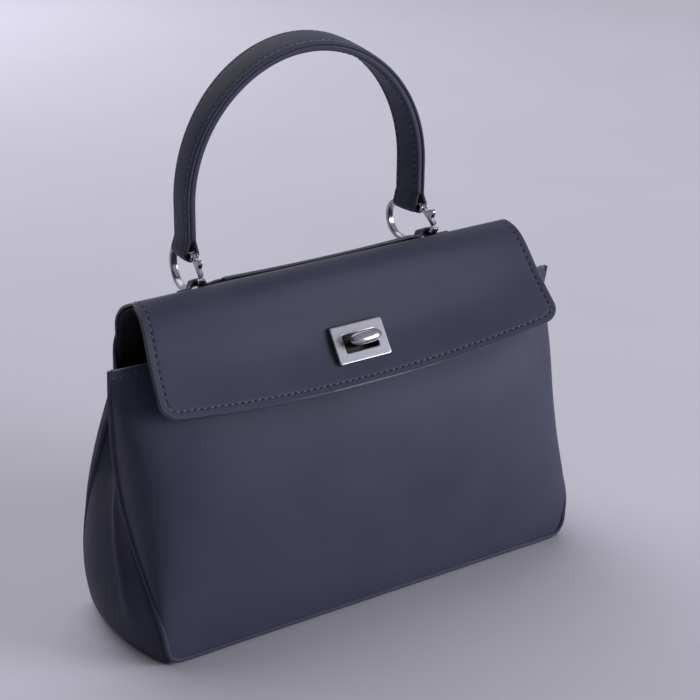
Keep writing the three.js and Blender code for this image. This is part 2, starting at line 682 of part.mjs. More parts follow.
// Leather loop lying across the arch: its crest clears the ring bar, its ends lie on the arch.
function buildTab(plane, word) {
  const arch = archCurve().getPoints(80);
  const archHeight = (y) => arch.reduce((best, p) => (
    Math.abs(p.y - y) < Math.abs(best.y - y) ? p : best)).z;
  const span = TAB_HALF_LENGTH;
  const grid = levels(TAB_CENTRE - TAB_HALF_WIDTH, TAB_CENTRE + TAB_HALF_WIDTH, 4).map((along) => {
    const crest = RING_Z + bottomBar(along) + RING_BAR / 2 + TAB_CLEARANCE + TAB_LEATHER;
    const middle = plane.localToWorld(new THREE.Vector3(along, 0, 0));
    const rest = archHeight(middle.y) + TAB_LEATHER + TAB_FOOT_GAP;
    return levels(span, -span, 20).map((across) => {
      const fall = THREE.MathUtils.smoothstep(Math.abs(across), TAB_CREST_HALF, span - TAB_FOOT);
      const height = THREE.MathUtils.lerp(crest, rest, fall);
      return new THREE.Vector3(middle.x + across, middle.y, height);
    });
  });
  addPiece(`${word}_tab`, sheet(grid, 0, TAB_LEATHER), LEATHER_FINISH);
}

// Strip of even thickness over the arch, its ends drawn up by a parabola.
function buildRidge() {
  const arch = archCurve().getPoints(200).filter(({ y }) => y >= RIDGE_FRONT && y <= RIDGE_BACK);
  const grid = levels(0, arch.length - 1, 4).map((place) => {
    const { y, z } = arch[Math.round(place)];
    return levels(-1, 1, 16).map((share) => (
      new THREE.Vector3(-share * RIDGE_HALF, y, z + RIDGE_LIFT * share * share)));
  });
  addPiece('ridge_strip', sheet(grid, -RIDGE_GAP - RIDGE_LEATHER, -RIDGE_GAP), LEATHER_FINISH);
}

buildBody();
buildRidge();
buildFlap();
buildLock();
buildHandle();
for (const [side, word] of [[-1, 'left'], [1, 'right']]) {
  const plane = ringGroup(side);
  buildRing(plane, word);
  buildTab(plane, word);
}

export default bag;
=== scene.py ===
# %% [markdown]
# # A flap handbag in calf leather and nickel
# The CAD model fixes the size, the joints and the place of every piece. This lesson sews the leather,
# thread, piping and metal around it. All sizes are written in millimetres, as a bag maker would give
# them, and one function turns them to metres when a mesh is made.

import bpy
import numpy as np
from mathutils import Matrix, Vector


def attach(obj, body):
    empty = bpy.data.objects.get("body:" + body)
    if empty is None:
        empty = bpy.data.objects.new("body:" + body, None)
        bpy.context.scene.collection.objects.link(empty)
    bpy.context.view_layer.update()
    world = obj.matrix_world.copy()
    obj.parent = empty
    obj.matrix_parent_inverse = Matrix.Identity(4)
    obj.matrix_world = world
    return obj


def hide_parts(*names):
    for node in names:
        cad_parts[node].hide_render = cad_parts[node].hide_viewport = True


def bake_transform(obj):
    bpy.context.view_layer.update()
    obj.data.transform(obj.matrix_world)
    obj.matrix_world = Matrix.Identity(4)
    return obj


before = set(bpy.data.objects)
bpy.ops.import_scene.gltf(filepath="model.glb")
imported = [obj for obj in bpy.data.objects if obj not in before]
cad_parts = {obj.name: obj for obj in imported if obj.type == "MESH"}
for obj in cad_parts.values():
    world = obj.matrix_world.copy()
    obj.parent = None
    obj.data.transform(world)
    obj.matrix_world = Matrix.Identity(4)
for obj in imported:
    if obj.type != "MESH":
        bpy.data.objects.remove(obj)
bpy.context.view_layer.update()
MM = 0.001

# %% [markdown]
# ## Curves
# A soft bag has few straight lines. Its side view is drawn as smooth curves through a handful of
# measured points, much as a pattern cutter draws with a flexible ruler. Blender's own curve objects
# could do this, but a formula on arrays can be read at any place, also for seams and stitches.


# %% Curve helpers
def through_knots(knots, place):
    """Cubic pieces through knots of (place, value, ...): at each knot the slope is that of the line
    between the knot's two neighbours."""
    knots = np.asarray(knots, float)
    at, value = knots[:, 0], knots[:, 1:]
    order = np.arange(len(at))
    before, after = np.maximum(order - 1, 0), np.minimum(order + 1, len(at) - 1)
    slope = (value[after] - value[before]) / (at[after] - at[before])[:, None]
    i = np.clip(np.searchsorted(at, place) - 1, 0, len(at) - 2)
    span = (at[i + 1] - at[i])[..., None]
    t = (np.asarray(place, float)[..., None] - at[i][..., None]) / span
    ends = (1 + 2 * t) * (1 - t) ** 2 * value[i] + t * t * (3 - 2 * t) * value[i + 1]
    result = ends + span * (t * (1 - t) ** 2 * slope[i] + t * t * (t - 1) * slope[i + 1])
    return result[..., 0] if value.shape[1] == 1 else result


def lengths(points):
    """Distance run along a line of points, from 0 at its first point."""
    return np.r_[0, np.cumsum(np.linalg.norm(np.diff(points, axis=0), axis=1))]


def read_line(line, own, at):
    """Places on a line at given distances, where own holds the distance run at each of its points."""
    return np.stack([np.interp(at, own, axis) for axis in line.T], -1)


def along(knots, share, samples=600):
    """Smooth curve through points in space, read at shares from 0 to 1 of its own length."""
    knots = np.asarray(knots, float)
    chord = lengths(knots)
    line = through_knots(np.c_[chord, knots], np.linspace(0, chord[-1], samples))
    own = lengths(line)
    return read_line(line, own, np.asarray(share, float) * own[-1])


def unit(vectors):
    """The same directions with a length of 1."""
    return vectors / np.maximum(np.linalg.norm(vectors, axis=-1, keepdims=True), 1e-12)


def ease(x, low, high):
    """0 below low, 1 above high and a smooth S between them."""
    t = np.clip((x - low) / (high - low), 0, 1)
    return t * t * (3 - 2 * t)


def bell(x, middle, width):
    """Bell curve: 1 at its middle and almost 0 two widths away."""
    return np.exp(-((x - middle) / width) ** 2)


def mix(a, b, t):
    """Straight mix: a where t is 0 and b where it is 1."""
    return a + (b - a) * t


def spaced(length, step, fine=()):
    """Places from 0 to length about a step apart, and the fine places counted from both ends."""
    fine = np.asarray(fine, float)
    count = max(int(round(length / step)), 1)
    return np.unique(np.round(np.r_[np.linspace(0, length, count + 1), fine, length - fine], 4))


print("a curve's middle:", along([[0, 0], [1, 1], [2, 0]], 0.5))

# %% [markdown]
# ## Meshes from arrays
# Every soft piece here is a sheet: a grid of points, a thickness and a rounded edge. Blender's
# Solidify modifier could add the thickness, but a real cut edge is round and painted in its own
# colour, so the function builds both faces and lets them meet in a half circle at the border.


# %% Mesh helpers
def make_mesh(name, points, quads, materials, body=None, slot=None, stands_for=(), finish_of=None, uv=None):
    """Object from points in millimetres and the corners of its faces, where a corner named twice counts
    once. finish_of picks each face's material."""
    mesh = bpy.data.meshes.new(name)
    corners = [list(dict.fromkeys(quad)) for quad in quads.tolist()]
    mesh.from_pydata((np.asarray(points) * MM).tolist(), [], corners)
    for material in materials:
        mesh.materials.append(material)
    if finish_of is not None:
        mesh.polygons.foreach_set("material_index", np.asarray(finish_of, np.int32))
    mesh.polygons.foreach_set("use_smooth", np.ones(len(mesh.polygons), bool))
    if uv is not None:
        corner = np.zeros(len(mesh.loops), np.int32)
        mesh.loops.foreach_get("vertex_index", corner)
        layer = mesh.uv_layers.new(name="UVMap")
        layer.data.foreach_set("uv", (uv[corner] * MM).astype(np.float32).ravel())
    mesh.update()
    piece = bpy.data.objects.new(name, mesh)
    bpy.context.collection.objects.link(piece)
    if stands_for:
        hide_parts(*stands_for)
    if body:
        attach(piece, body)
    print(f"{name}: {len(mesh.polygons)} faces")
    return piece


def normals_of(grid):
    """Unit normals of a grid: the step along its rows crossed with the step across them."""
    return unit(np.cross(np.gradient(grid, axis=1), np.gradient(grid, axis=0)))


def grid_quads(index, wrap_rows=False, wrap_columns=False):
    """Corners of the faces between neighbouring rows and columns of a table of point numbers."""
    if wrap_rows:
        index = np.vstack([index, index[:1]])
    if wrap_columns:
        index = np.hstack([index, index[:, :1]])
    return np.stack([index[:-1, :-1], index[:-1, 1:], index[1:, 1:], index[1:, :-1]], -1).reshape(-1, 4)


def edge_distance(grid):
    """How far each point of a grid lies from the nearest of its four borders, along the sheet."""
    across = np.linalg.norm(np.diff(grid, axis=1), axis=2).cumsum(1)
    across = np.hstack([np.zeros((len(grid), 1)), across])
    up = np.linalg.norm(np.diff(grid, axis=0), axis=2).cumsum(0)
    up = np.vstack([np.zeros((1, grid.shape[1])), up])
    sides = [across, across[:, -1:] - across, up, up[-1:] - up]
    return np.minimum.reduce(sides), across, up


def sheet(name, face, thickness, materials, hole=None, depth=0.0, dent=0.0, **settings):
    """Closed sheet under a grid of its outer face. Near the border both faces draw together in a half
    circle, which takes the second material. hole = (row0, row1, col0, col1) leaves out a window of cells.
    depth sinks the whole sheet, and dent sinks each point of the outer face by its own amount."""
    rows, columns = face.shape[:2]
    normal = normals_of(face)
    away, across, up = edge_distance(face)
    radius = thickness / 2
    bulge = np.sqrt(1 - (1 - np.clip(away / radius, 0, 1)) ** 2)[..., None]
    outer = face - normal * (depth + radius * (1 - bulge) + np.asarray(dent)[..., None])
    inner = face - normal * (depth + radius * (1 + bulge))
    front = np.arange(rows * columns).reshape(rows, columns)
    back = front + rows * columns
    border = np.ones((rows, columns), bool)
    border[1:-1, 1:-1] = False
    back[border] = front[border]
    keep = np.ones((rows - 1, columns - 1), bool)
    walls = np.zeros((0, 4), int)
    if hole:
        r0, r1, c0, c1 = hole
        keep[r0:r1, c0:c1] = False
        ring, under = (np.r_[s[r0, c0:c1], s[r0:r1, c1], s[r1, c1:c0:-1], s[r1:r0:-1, c0]]
                       for s in (front, back))
        walls = np.stack([np.roll(ring, -1), ring, under, np.roll(under, -1)], -1)[:, ::-1]
    keep = keep.ravel()
    quads = np.vstack([grid_quads(front)[keep], grid_quads(back)[keep][:, ::-1], walls])
    used, quads = np.unique(quads, return_inverse=True)
    quads = quads.reshape(-1, 4)
    points = np.vstack([outer.reshape(-1, 3), inner.reshape(-1, 3)])[used]
    flat = np.tile(np.stack([across, up], -1).reshape(-1, 2), (2, 1))[used]
    near = np.tile(away.ravel(), 2)[used][quads].mean(1) < radius
    finish_of = near.astype(int) if len(materials) > 1 else None
    return make_mesh(name, points, quads, materials, finish_of=finish_of, uv=flat, **settings)


print("faces between 3 by 3 points:", len(grid_quads(np.arange(9).reshape(3, 3))))

# %% [markdown]
# ## Finishes
# Each finish is named for the real material. One helper adds a node, sets it and links it, so a
# material reads as a short list. Patterns read Object coordinates, which stay with the piece, or the
# sheet's own UV map, which follows a cloth round its bends.


# %% Material helpers
def linear(colour):
    """sRGB hex such as '#44465a' to the linear numbers that a shader takes."""
    value = np.array([int(colour[i:i + 2], 16) for i in (1, 3, 5)]) / 255
    low = value <= 0.04045
    return (*np.where(low, value / 12.92, ((value + 0.055) / 1.055) ** 2.4).tolist(), 1.0)


def add(tree, kind, links=None, inputs=None, feeds=None, **settings):
    """Adds one node: settings are its options, inputs its fixed values, links the sockets that feed it
    and feeds the sockets that its outputs go to."""
    node = tree.nodes.new(kind)
    for key, value in settings.items():
        setattr(node, key, value)
    for key, value in (inputs or {}).items():
        node.inputs[key].default_value = value
    for key, socket in (links or {}).items():
        tree.links.new(socket, node.inputs[key])
    for key, socket in (feeds or {}).items():
        tree.links.new(node.outputs[key], socket)
    return node


def new_finish(name, **fixed):
    """A material, its node tree and its shader's sockets, some of them set to fixed values."""
    material = bpy.data.materials.new(name)
    material.use_nodes = True
    surface = material.node_tree.nodes["Principled BSDF"].inputs
    for key, value in fixed.items():
        surface[key.replace("_", " ")].default_value = value
    return material, material.node_tree, surface


def per_mm(size):
    """Texture scale that makes a pattern's cell this many millimetres wide."""
    return 1 / (size * MM)


def slanted(size):
    """Scale of a diagonal Wave texture whose bands repeat at this many millimetres: it counts ten
    radians for each step of one along x and y together."""
    return 2 * np.pi / (10 * np.sqrt(2) * size * MM)


print("slate in linear numbers:", [round(v, 3) for v in linear("#44465a")[:3]])

# %% [markdown]
# ### Smooth calf leather
# The bag is smooth, drum-dyed calf with a matte wax finish. It gives a soft wide sheen, faint cloudy
# changes of colour from the dye and a very fine grain. The grain of calf is near 0.3 mm, too fine to
# show from here, so it is drawn at 0.8 mm and shallow. A Voronoi pattern gives the small cells between
# pores and a slow noise gives the clouds. The handle is cut from a slightly darker hide. The gussets'
# leather is darker still, as painted shade for the shadow on the bag's sides.

# %% Leather finish
DYE_CLOUD, HIDE_GRAIN, CALF_GRAIN = 42, 9, 0.8


def calf_leather(name, dark, light):
    """Clouds of dye set the colour and the polish; the pores and the hide's slow grain give relief."""
    material, tree, surface = new_finish(name, Specular_IOR_Level=0.16, Sheen_Weight=0.03,
                                         Sheen_Roughness=0.4)
    place = add(tree, "ShaderNodeTexCoord").outputs["Object"]
    clouds = add(tree, "ShaderNodeTexNoise", {"Vector": place},
                 {"Scale": per_mm(DYE_CLOUD), "Detail": 3.0}).outputs["Fac"]
    tone = add(tree, "ShaderNodeMapRange", {"Value": clouds}, {"From Min": 0.3, "From Max": 0.7})
    add(tree, "ShaderNodeMix", {"Factor": tone.outputs["Result"]},
        {"A": linear(dark), "B": linear(light)}, {"Result": surface["Base Color"]}, data_type="RGBA")
    add(tree, "ShaderNodeMapRange", {"Value": clouds}, {"To Min": 0.5, "To Max": 0.6},
        {"Result": surface["Roughness"]})
    grain = add(tree, "ShaderNodeTexVoronoi", {"Vector": place}, {"Scale": per_mm(CALF_GRAIN)},
                feature="SMOOTH_F1")
    pores = add(tree, "ShaderNodeBump", {"Height": grain.outputs["Distance"]},
                {"Strength": 0.09, "Distance": 0.1 * MM})
    hide = add(tree, "ShaderNodeTexNoise", {"Vector": place}, {"Scale": per_mm(HIDE_GRAIN), "Detail": 2.0})
    add(tree, "ShaderNodeBump", {"Height": hide.outputs["Fac"], "Normal": pores.outputs["Normal"]},
        {"Strength": 0.1, "Distance": 0.6 * MM}, {"Normal": surface["Normal"]})
    return material


leather = calf_leather("Smooth calf leather", "#3d3f51", "#434557")
handle_leather = calf_leather("Handle calf leather", "#3a3c4c", "#404252")
# The gussets' copy of the calf is darker: painted shade for the bag's shaded sides.
side_leather_painted_shade = calf_leather("Side calf leather with painted shade", "#343645", "#3a3c4b")
print("leathers:", leather.name, handle_leather.name, side_leather_painted_shade.name)

# %% [markdown]
# ### Edge paint, thread, lining and board
# These finishes are simpler: one pattern mixes two tones and may raise the surface a little. Cut edges
# are sealed with a few coats of acrylic edge paint: satin, with a slight waviness of the brush. It is drawn
# a little lighter than the hide, partly as a painted highlight along the edges. The thread is bonded
# polyester in a paler slate, twisted, so tiny slanted bands run over each stitch. It dives into awl holes,
# drawn as near-black marks: painted shade in the pits. The lining is a fine twill; its diagonal ribs
# come from a wave pattern on the sheet's own UV map. Real ribs are 0.4 mm apart and are drawn at 1 mm
# here. The board that stiffens the base is grey-brown fibre, seen only where a lining is lifted.

# %% Two-tone finishes
BRUSH_WAVE, THREAD_TWIST, WAX_GRAIN, TWILL_RIB, BOARD_FIBRE = 4, 0.9, 0.6, 1.0, 2
NOISE, WAVE, SLANTED = "ShaderNodeTexNoise", "ShaderNodeTexWave", {"bands_direction": "DIAGONAL"}


def two_tone(name, dark, light, kind, inputs, options=None, read="Object", relief=None, **fixed):
    """A pattern mixes a dark and a light colour. relief = (strength, depth) also raises the surface by it,
    read names the coordinates, and fixed holds the shader's own values."""
    material, tree, surface = new_finish(name, **fixed)
    place = add(tree, "ShaderNodeTexCoord").outputs[read]
    pattern = add(tree, kind, {"Vector": place}, inputs, **(options or {})).outputs["Fac"]
    add(tree, "ShaderNodeMix", {"Factor": pattern}, {"A": linear(dark), "B": linear(light)},
        {"Result": surface["Base Color"]}, data_type="RGBA")
    if relief:
        add(tree, "ShaderNodeBump", {"Height": pattern}, {"Strength": relief[0], "Distance": relief[1] * MM},
            {"Normal": surface["Normal"]})
    return material


# Edge paint drawn lighter than the hide, partly as a painted highlight along the cut edges.
paint_and_highlight = two_tone("Acrylic edge paint", "#454757", "#555767", NOISE,
                 {"Scale": per_mm(BRUSH_WAVE), "Detail": 2.0}, relief=(0.2, 0.15),
                 Roughness=0.34, Specular_IOR_Level=0.5)
thread = two_tone("Bonded polyester thread", "#484a5a", "#6a6d80", WAVE,
                  {"Scale": slanted(THREAD_TWIST), "Distortion": 0.4}, SLANTED,
                  Roughness=0.55, Sheen_Weight=0.2)
# Near-black marks between the stitches: painted shade in the awl holes.
awl_hole_shade = two_tone("Awl hole painted shade", "#0c0d11", "#1a1b21", NOISE, {"Scale": per_mm(WAX_GRAIN)},
                    Roughness=0.7, Specular_IOR_Level=0.15)
twill = two_tone("Cotton lining twill", "#2c2d36", "#3d3e49", WAVE, {"Scale": slanted(TWILL_RIB)}, SLANTED,
                 read="UV", relief=(0.4, 0.2), Roughness=0.85, Specular_IOR_Level=0.2)
board = two_tone("Fibre bag board", "#7d766b", "#978f83", NOISE,
                 {"Scale": per_mm(BOARD_FIBRE), "Detail": 5.0}, Roughness=0.9)
print("finishes:", [finish.name for finish in (paint_and_highlight, thread, awl_hole_shade, twill, board)])

# %% [markdown]
# ### Nickel plate
# The fittings are die-cast zinc, polished and nickel plated: a grey mirror with fine rubbing marks. A
# stretched noise gives the marks and varies the roughness. The slotted plate is satin, as its flat face
# was brushed. The plate under its slot is drawn in a dark nickel as painted shade, for the shadow inside
# the slot, so the slot reads as an opening.

# %% Nickel finishes
RUB_MARK, RUB_STRETCH = 4, 9.0


def nickel_plate(name, dark, light, smooth, rough):
    """Marks drawn out along X mix the two tones and the two roughnesses."""
    material, tree, surface = new_finish(name, Metallic=1.0)
    place = add(tree, "ShaderNodeTexCoord").outputs["Object"]
    drawn = add(tree, "ShaderNodeMapping", {"Vector": place}, {"Scale": (1.0, RUB_STRETCH, RUB_STRETCH)})
    marks = add(tree, NOISE, {"Vector": drawn.outputs["Vector"]},
                {"Scale": per_mm(RUB_MARK), "Detail": 4.0}).outputs["Fac"]
    add(tree, "ShaderNodeMix", {"Factor": marks}, {"A": linear(dark), "B": linear(light)},
        {"Result": surface["Base Color"]}, data_type="RGBA")
    add(tree, "ShaderNodeMapRange", {"Value": marks}, {"To Min": smooth, "To Max": rough},
        {"Result": surface["Roughness"]})
    add(tree, "ShaderNodeBump", {"Height": marks}, {"Strength": 0.03, "Distance": 0.03 * MM},
        {"Normal": surface["Normal"]})
    return material


nickel = nickel_plate("Polished nickel plate", "#a09fa6", "#b2b1b7", smooth=0.14, rough=0.22)
satin_nickel = nickel_plate("Satin nickel plate", "#a09fa6", "#b2b1b7", smooth=0.26, rough=0.36)
# Dark plate under the lock's slot: painted shade for the inside of the slot.
dark_nickel_painted_shade = nickel_plate("Dark nickel plate with painted shade", "#37352f", "#4a4841", smooth=0.26, rough=0.36)
print("metals:", nickel.name, satin_nickel.name, dark_nickel_painted_shade.name)

# %% [markdown]
# ## The shape of the body
# The same few curves that the solids use give the panels here: half widths, and the depth of each
# panel's middle and of its side seams at every height. Each level of a panel is flat in the middle and
# bends round to the seams like a superellipse.

# %% Body curves
SIDES = ((-1, "left"), (1, "right"))
RIM_Z, SHOULDER_LOW, SHOULDER_HIGH = 175.0, 154.0, 180.0
BASE_HALF, ARCH_HALF = 142.5, 131.0
BACK_SEAM_TOP = 163.0
CORNER_POWER = 4.0
LEVEL_HALF, LEVEL_DEPTH = 146, 30
FRONT_HALF = [(0, 142.5), (12, 144.5), (35, 147.5), (80, 149.5), (130, 151), (175, 153)]
BACK_HALF = [(0, 142.5), (12, 144), (35, 147), (70, 148), (100, 146.5), (130, 142.5), (160, 136.5),
             (180, 131)]
FRONT_MIDDLE = [(0, -52), (15, -55), (45, -57.5), (75, -58), (105, -55), (125, -50), (141, -42),
                (160, -28.5), (175, -21.8)]
FRONT_SEAM = [(0, -52), (12, -53), (28, -51.5), (45, -43.5), (70, -27.5), (100, -15.5), (140, -14),
              (175, -20)]
BACK_MIDDLE = [(0, 46), (20, 49.5), (45, 50), (80, 45), (120, 35), (160, 22.5), (180, 17.5)]
BACK_SEAM = [(0, 45), (30, 44.5), (70, 33), (115, 17), (150, 6), (180, 2)]


def half_width(z):
    """Half the front panel's width at a height."""
    return through_knots(FRONT_HALF, z)


def back_half_width(z):
    """Half the back panel's width at a height."""
    return through_knots(BACK_HALF, z)


def bend_round(angle):
    """Superellipse at an angle from 0 to half a turn: place across from -1 to 1, and share of the way
    from the seam to the middle."""
    c, s = -np.cos(angle), np.maximum(np.sin(angle), 0)
    return np.sign(c) * np.abs(c) ** (2 / CORNER_POWER), s ** (2 / CORNER_POWER)


def panel_angles(step, fine):
    """Angles that lie about a step apart along a panel's level at mid height."""
    angle = np.linspace(0, np.pi, 4001)
    x, y = bend_round(angle)
    run = lengths(np.stack([LEVEL_HALF * x, LEVEL_DEPTH * y], -1))
    return np.interp(spaced(run[-1], step, fine), run, angle)


print("half width at the rim:", half_width(RIM_Z))

# %% [markdown]
# ## Front panel
# One piece of leather from the base to the rim. It bulges where the bag is full and leans back to the
# mouth. A few slow waves, under a millimetre high, keep it from looking moulded. They fade out at the
# borders, where the seams hold the hide. The lining is the same grid, thinned out, kept clear of the
# borders and sunk behind the leather.

# %% Front panel
STEP, EDGE_STEPS = 3.0, (0.12, 0.35, 0.7, 1.1)
LEATHER, SKIN, LINING = 1.8, 2.6, 0.8
FOOT_Z = 2.2
SLACK, SLACK_FADE, SLACK_SIDES = 0.55, 35, (95, 135)


def slack(x, z, high):
    """Slow waves of a standing hide: sines whose lengths never fall into step, faded to nothing towards
    the borders."""
    wave = np.sin(x / 37 + 0.6) * np.sin(z / 29 + 1.1) + 0.6 * np.sin(x / 19 - z / 41 + 2.0)
    held = ease(z, 0, SLACK_FADE) * (1 - ease(z, high - SLACK_FADE, high))
    return SLACK * wave * held * (1 - ease(np.abs(x), *SLACK_SIDES))


def front_face(angle, z):
    """Superellipse at each height, from the seams' depth to the middle's, with the waves added."""
    x, forward = bend_round(angle)
    x, seam, middle = x * half_width(z), through_knots(FRONT_SEAM, z), through_knots(FRONT_MIDDLE, z)
    y = mix(seam, middle, forward) + slack(x, z, RIM_Z)
    return np.stack(np.broadcast_arrays(x, y, z), -1)


columns = panel_angles(STEP, EDGE_STEPS)
rows = FOOT_Z + spaced(RIM_Z - FOOT_Z, STEP, EDGE_STEPS)
front = front_face(columns[None, :], rows[:, None])
sheet("front_leather", front, LEATHER, [leather, paint_and_highlight], body="body", slot="leather",
      stands_for=["front_panel"])
sheet("front_twill", front[4:-2:2, 6:-6:2], LINING, [twill], depth=SKIN, body="body", slot="lining",
      stands_for=["front_lining"])

# %% [markdown]
# ## Side gussets
# The gusset is a teardrop: wide and round at the bottom, folded inwards near the mouth. It is lofted
# between the front seam and the back seam, and a bulge pushes it out or in by a sine across its width.
# A sharper second sine makes the fold line that the leather has learned, and a narrow bell curve makes
# the soft crease beside the front seam.

# %% Gussets
GUSSET_BULGE = [(0, 8), (6, 11.5), (14, 13.5), (35, 12.5), (55, 9), (85, 2), (120, -7), (175, -15)]
GUSSET_FULLNESS, GUSSET_COLUMNS, GUSSET_STEP, GUSSET_EDGE = 0.65, 41, 0.018, (0.002, 0.006)
FOLD_DEPTH, FOLD_POWER, FOLD_STARTS = 4.0, 4, (70, 150)
CREASE_SHARE, CREASE_WIDTH, CREASE_HEIGHT = 0.2, 0.055, 1.6
CREASE_STARTS, CREASE_ENDS = (5, 40), (75, 120)


def gusset_face(side, share, rise):
    """Straight loft between the two seams, pushed out by the bulge and the crease and in by the fold."""
    z, low_z = rise * RIM_Z, rise * BACK_SEAM_TOP
    x = mix(side * half_width(z), side * back_half_width(low_z), share)
    y = mix(through_knots(FRONT_SEAM, z), through_knots(BACK_SEAM, low_z), share)
    level = mix(z, low_z, share)
    swell = np.maximum(np.sin(np.pi * share), 0)
    bulge = through_knots(GUSSET_BULGE, level) * swell ** GUSSET_FULLNESS
    fold = ease(level, *FOLD_STARTS) * swell ** FOLD_POWER
    crease = bell(share, CREASE_SHARE, CREASE_WIDTH) * ease(level, *CREASE_STARTS)
    crease = crease * (1 - ease(level, *CREASE_ENDS))
    x = x + side * (bulge - FOLD_DEPTH * fold + CREASE_HEIGHT * crease)
    return np.stack(np.broadcast_arrays(x, y, level), -1)


for side, word in SIDES:
    share = np.linspace(0, 1, GUSSET_COLUMNS)[::side]
    rise = spaced(1.0, GUSSET_STEP, GUSSET_EDGE)
    gusset = gusset_face(side, share[None, :], rise[:, None])
    # The gussets take the darker calf, which paints the shade on the sides.
    sheet(f"{word}_gusset_leather", gusset, LEATHER, [side_leather_painted_shade, paint_and_highlight], body="body", slot="leather",
          stands_for=[f"{word}_gusset"])
    sheet(f"{word}_twill", gusset[3:-1:2, 2:-2:2], LINING, [twill], depth=SKIN, body="body", slot="lining",
          stands_for=[f"{word}_lining"])

# %% [markdown]
# ## Back, arch and flap in one hide
# On the real bag one piece of leather runs up the back, over the arch and down as the flap, and bends
# where the flap opens. Made as one grid, it has no step at the bend. The columns keep the same share of
# the width all the way, and the rows run from the base to the flap's bottom edge, whose corners are
# rounded by drawing the lowest rows in.

# %% Back, arch and flap curves
ARCH = [(17.5, 180), (16.3, 189.5), (9.5, 198), (0, 203.4), (-9, 206)]
FLAP_MIDDLE = [(-18.5, 201.5), (-26.5, 184), (-36, 163), (-52.5, 142.5)]
FLAP_SIDE = [(-21, 200), (-36, 178), (-45, 166), (-54.5, 154)]
FLAP_BOTTOM_HALF, FLAP_CORNER, FLAP_SLANT = 139.0, 11.0, 83.0
ARCH_LENGTH = lengths(along(ARCH, np.linspace(0, 1, 200)))[-1]
BOTTOM = ARCH_LENGTH + FLAP_SLANT


def over_the_top(knots, run):
    """Side view from the shoulder over the arch and down the flap. run is 0 at the shoulder, ARCH_LENGTH
    at the bend and BOTTOM at the flap's bottom edge, whatever the flap's own length."""
    line = along(ARCH + knots, np.linspace(0, 1, 1200))
    bend = np.argmax(line[:, 0] < ARCH[-1][0])
    own = lengths(line)
    return read_line(line, own, np.interp(run, [0, ARCH_LENGTH, BOTTOM], [0, own[bend], own[-1]]))


def flap_share(run):
    """Share of the way down the flap: 0 at the bend and 1 at the bottom edge."""
    return np.clip((run - ARCH_LENGTH) / FLAP_SLANT, 0, 1)


def square_half(run):
    """Half width over the arch and the flap, which widens a little downwards, with square corners."""
    return mix(ARCH_HALF, FLAP_BOTTOM_HALF, flap_share(run))


def half_at(run):
    """The same with round corners: the last rows draw in by the corner's circle."""
    lift = np.clip(FLAP_CORNER - FLAP_SLANT * (1 - flap_share(run)), 0, FLAP_CORNER)
    return square_half(run) - FLAP_CORNER + np.sqrt(FLAP_CORNER ** 2 - lift ** 2)


def hide_face(across, deep, run):
    """across is the column's share of the half width, deep its share of the way from seam to middle on
    the back panel, run the distance over the top (below 0: down the back)."""
    z = np.clip(SHOULDER_HIGH + run, 0, SHOULDER_HIGH)
    fade = ease(z, SHOULDER_LOW, SHOULDER_HIGH)
    middle = through_knots(BACK_MIDDLE, z)
    seam = mix(through_knots(BACK_SEAM, z), middle, fade)
    x = -across * np.where(run < 0, back_half_width(z), half_at(run))
    top = np.maximum(run, 0)
    spread = np.asarray(np.abs(x) / square_half(run)) ** 2
    yz = mix(over_the_top(FLAP_MIDDLE, top), over_the_top(FLAP_SIDE, top), spread[..., None])
    y = np.where(run < 0, mix(seam, middle, deep) - slack(x, z, SHOULDER_HIGH), yz[..., 0])
    return np.stack(np.broadcast_arrays(x, y, np.where(run < 0, z, yz[..., 1])), -1)


print("arch length:", round(ARCH_LENGTH, 1), "mm")

# %% [markdown]
# The stitch line sinks the leather by half a millimetre, so rows and columns crowd where it runs.
# The window for the lock lies on grid lines too, which keeps its edges straight.

# %% Grid of the hide
STITCH_INSET, GROOVE_DEPTH, GROOVE_WIDTH = 4.5, 0.5, 0.6
GROOVE = (3.4, 3.7, 4.0, 4.25, 4.5, 4.75, 5.0, 5.3, 5.6)
SIDE_STEPS, LOW_STEPS, TOP_STEP = (0.3, 0.8), (2.2, 8, 9.5), 1.5
LOCK_Y, LOCK_Z, SLOT_DROP = -36.0, 163.0, 0.8
SLOT_HALF_WIDTH, SLOT_HALF_HEIGHT = 11.9, 5.8


def flap_inset(x, run):
    """Distance from the edge of the flap as it lies flat: to its side or bottom, or to the corner's
    circle."""
    aside, below = FLAP_CORNER - square_half(run) + np.abs(x), FLAP_CORNER - BOTTOM + run
    return FLAP_CORNER - np.hypot(np.maximum(aside, 0), np.maximum(below, 0))


places = np.linspace(ARCH_LENGTH, BOTTOM, 2000)
lock_away = np.linalg.norm(over_the_top(FLAP_MIDDLE, places) - [LOCK_Y, LOCK_Z], axis=1)
lock_rows = places[lock_away.argmin()] + SLOT_DROP + SLOT_HALF_HEIGHT * np.array([-1, 1])
marks = np.r_[ARCH_HALF - np.r_[GROOVE, SIDE_STEPS], SLOT_HALF_WIDTH] / ARCH_HALF
across = np.unique(np.round(np.r_[bend_round(panel_angles(STEP, EDGE_STEPS))[0], marks, -marks], 6))
deep = (1 - np.minimum(np.abs(across), 1) ** CORNER_POWER) ** (1 / CORNER_POWER)
up_the_back = FOOT_Z - SHOULDER_HIGH + spaced(SHOULDER_HIGH - FOOT_Z, STEP, EDGE_STEPS)
low_edge = BOTTOM - np.r_[0, EDGE_STEPS, GROOVE, LOW_STEPS]
run = np.unique(np.round(np.r_[up_the_back, np.arange(0, BOTTOM, TOP_STEP), low_edge, lock_rows], 3))
hide = hide_face(across[None, :], deep[None, :], run[:, None])
groove = bell(flap_inset(hide[..., 0], run[:, None]), STITCH_INSET, GROOVE_WIDTH) * (run > 0)[:, None]
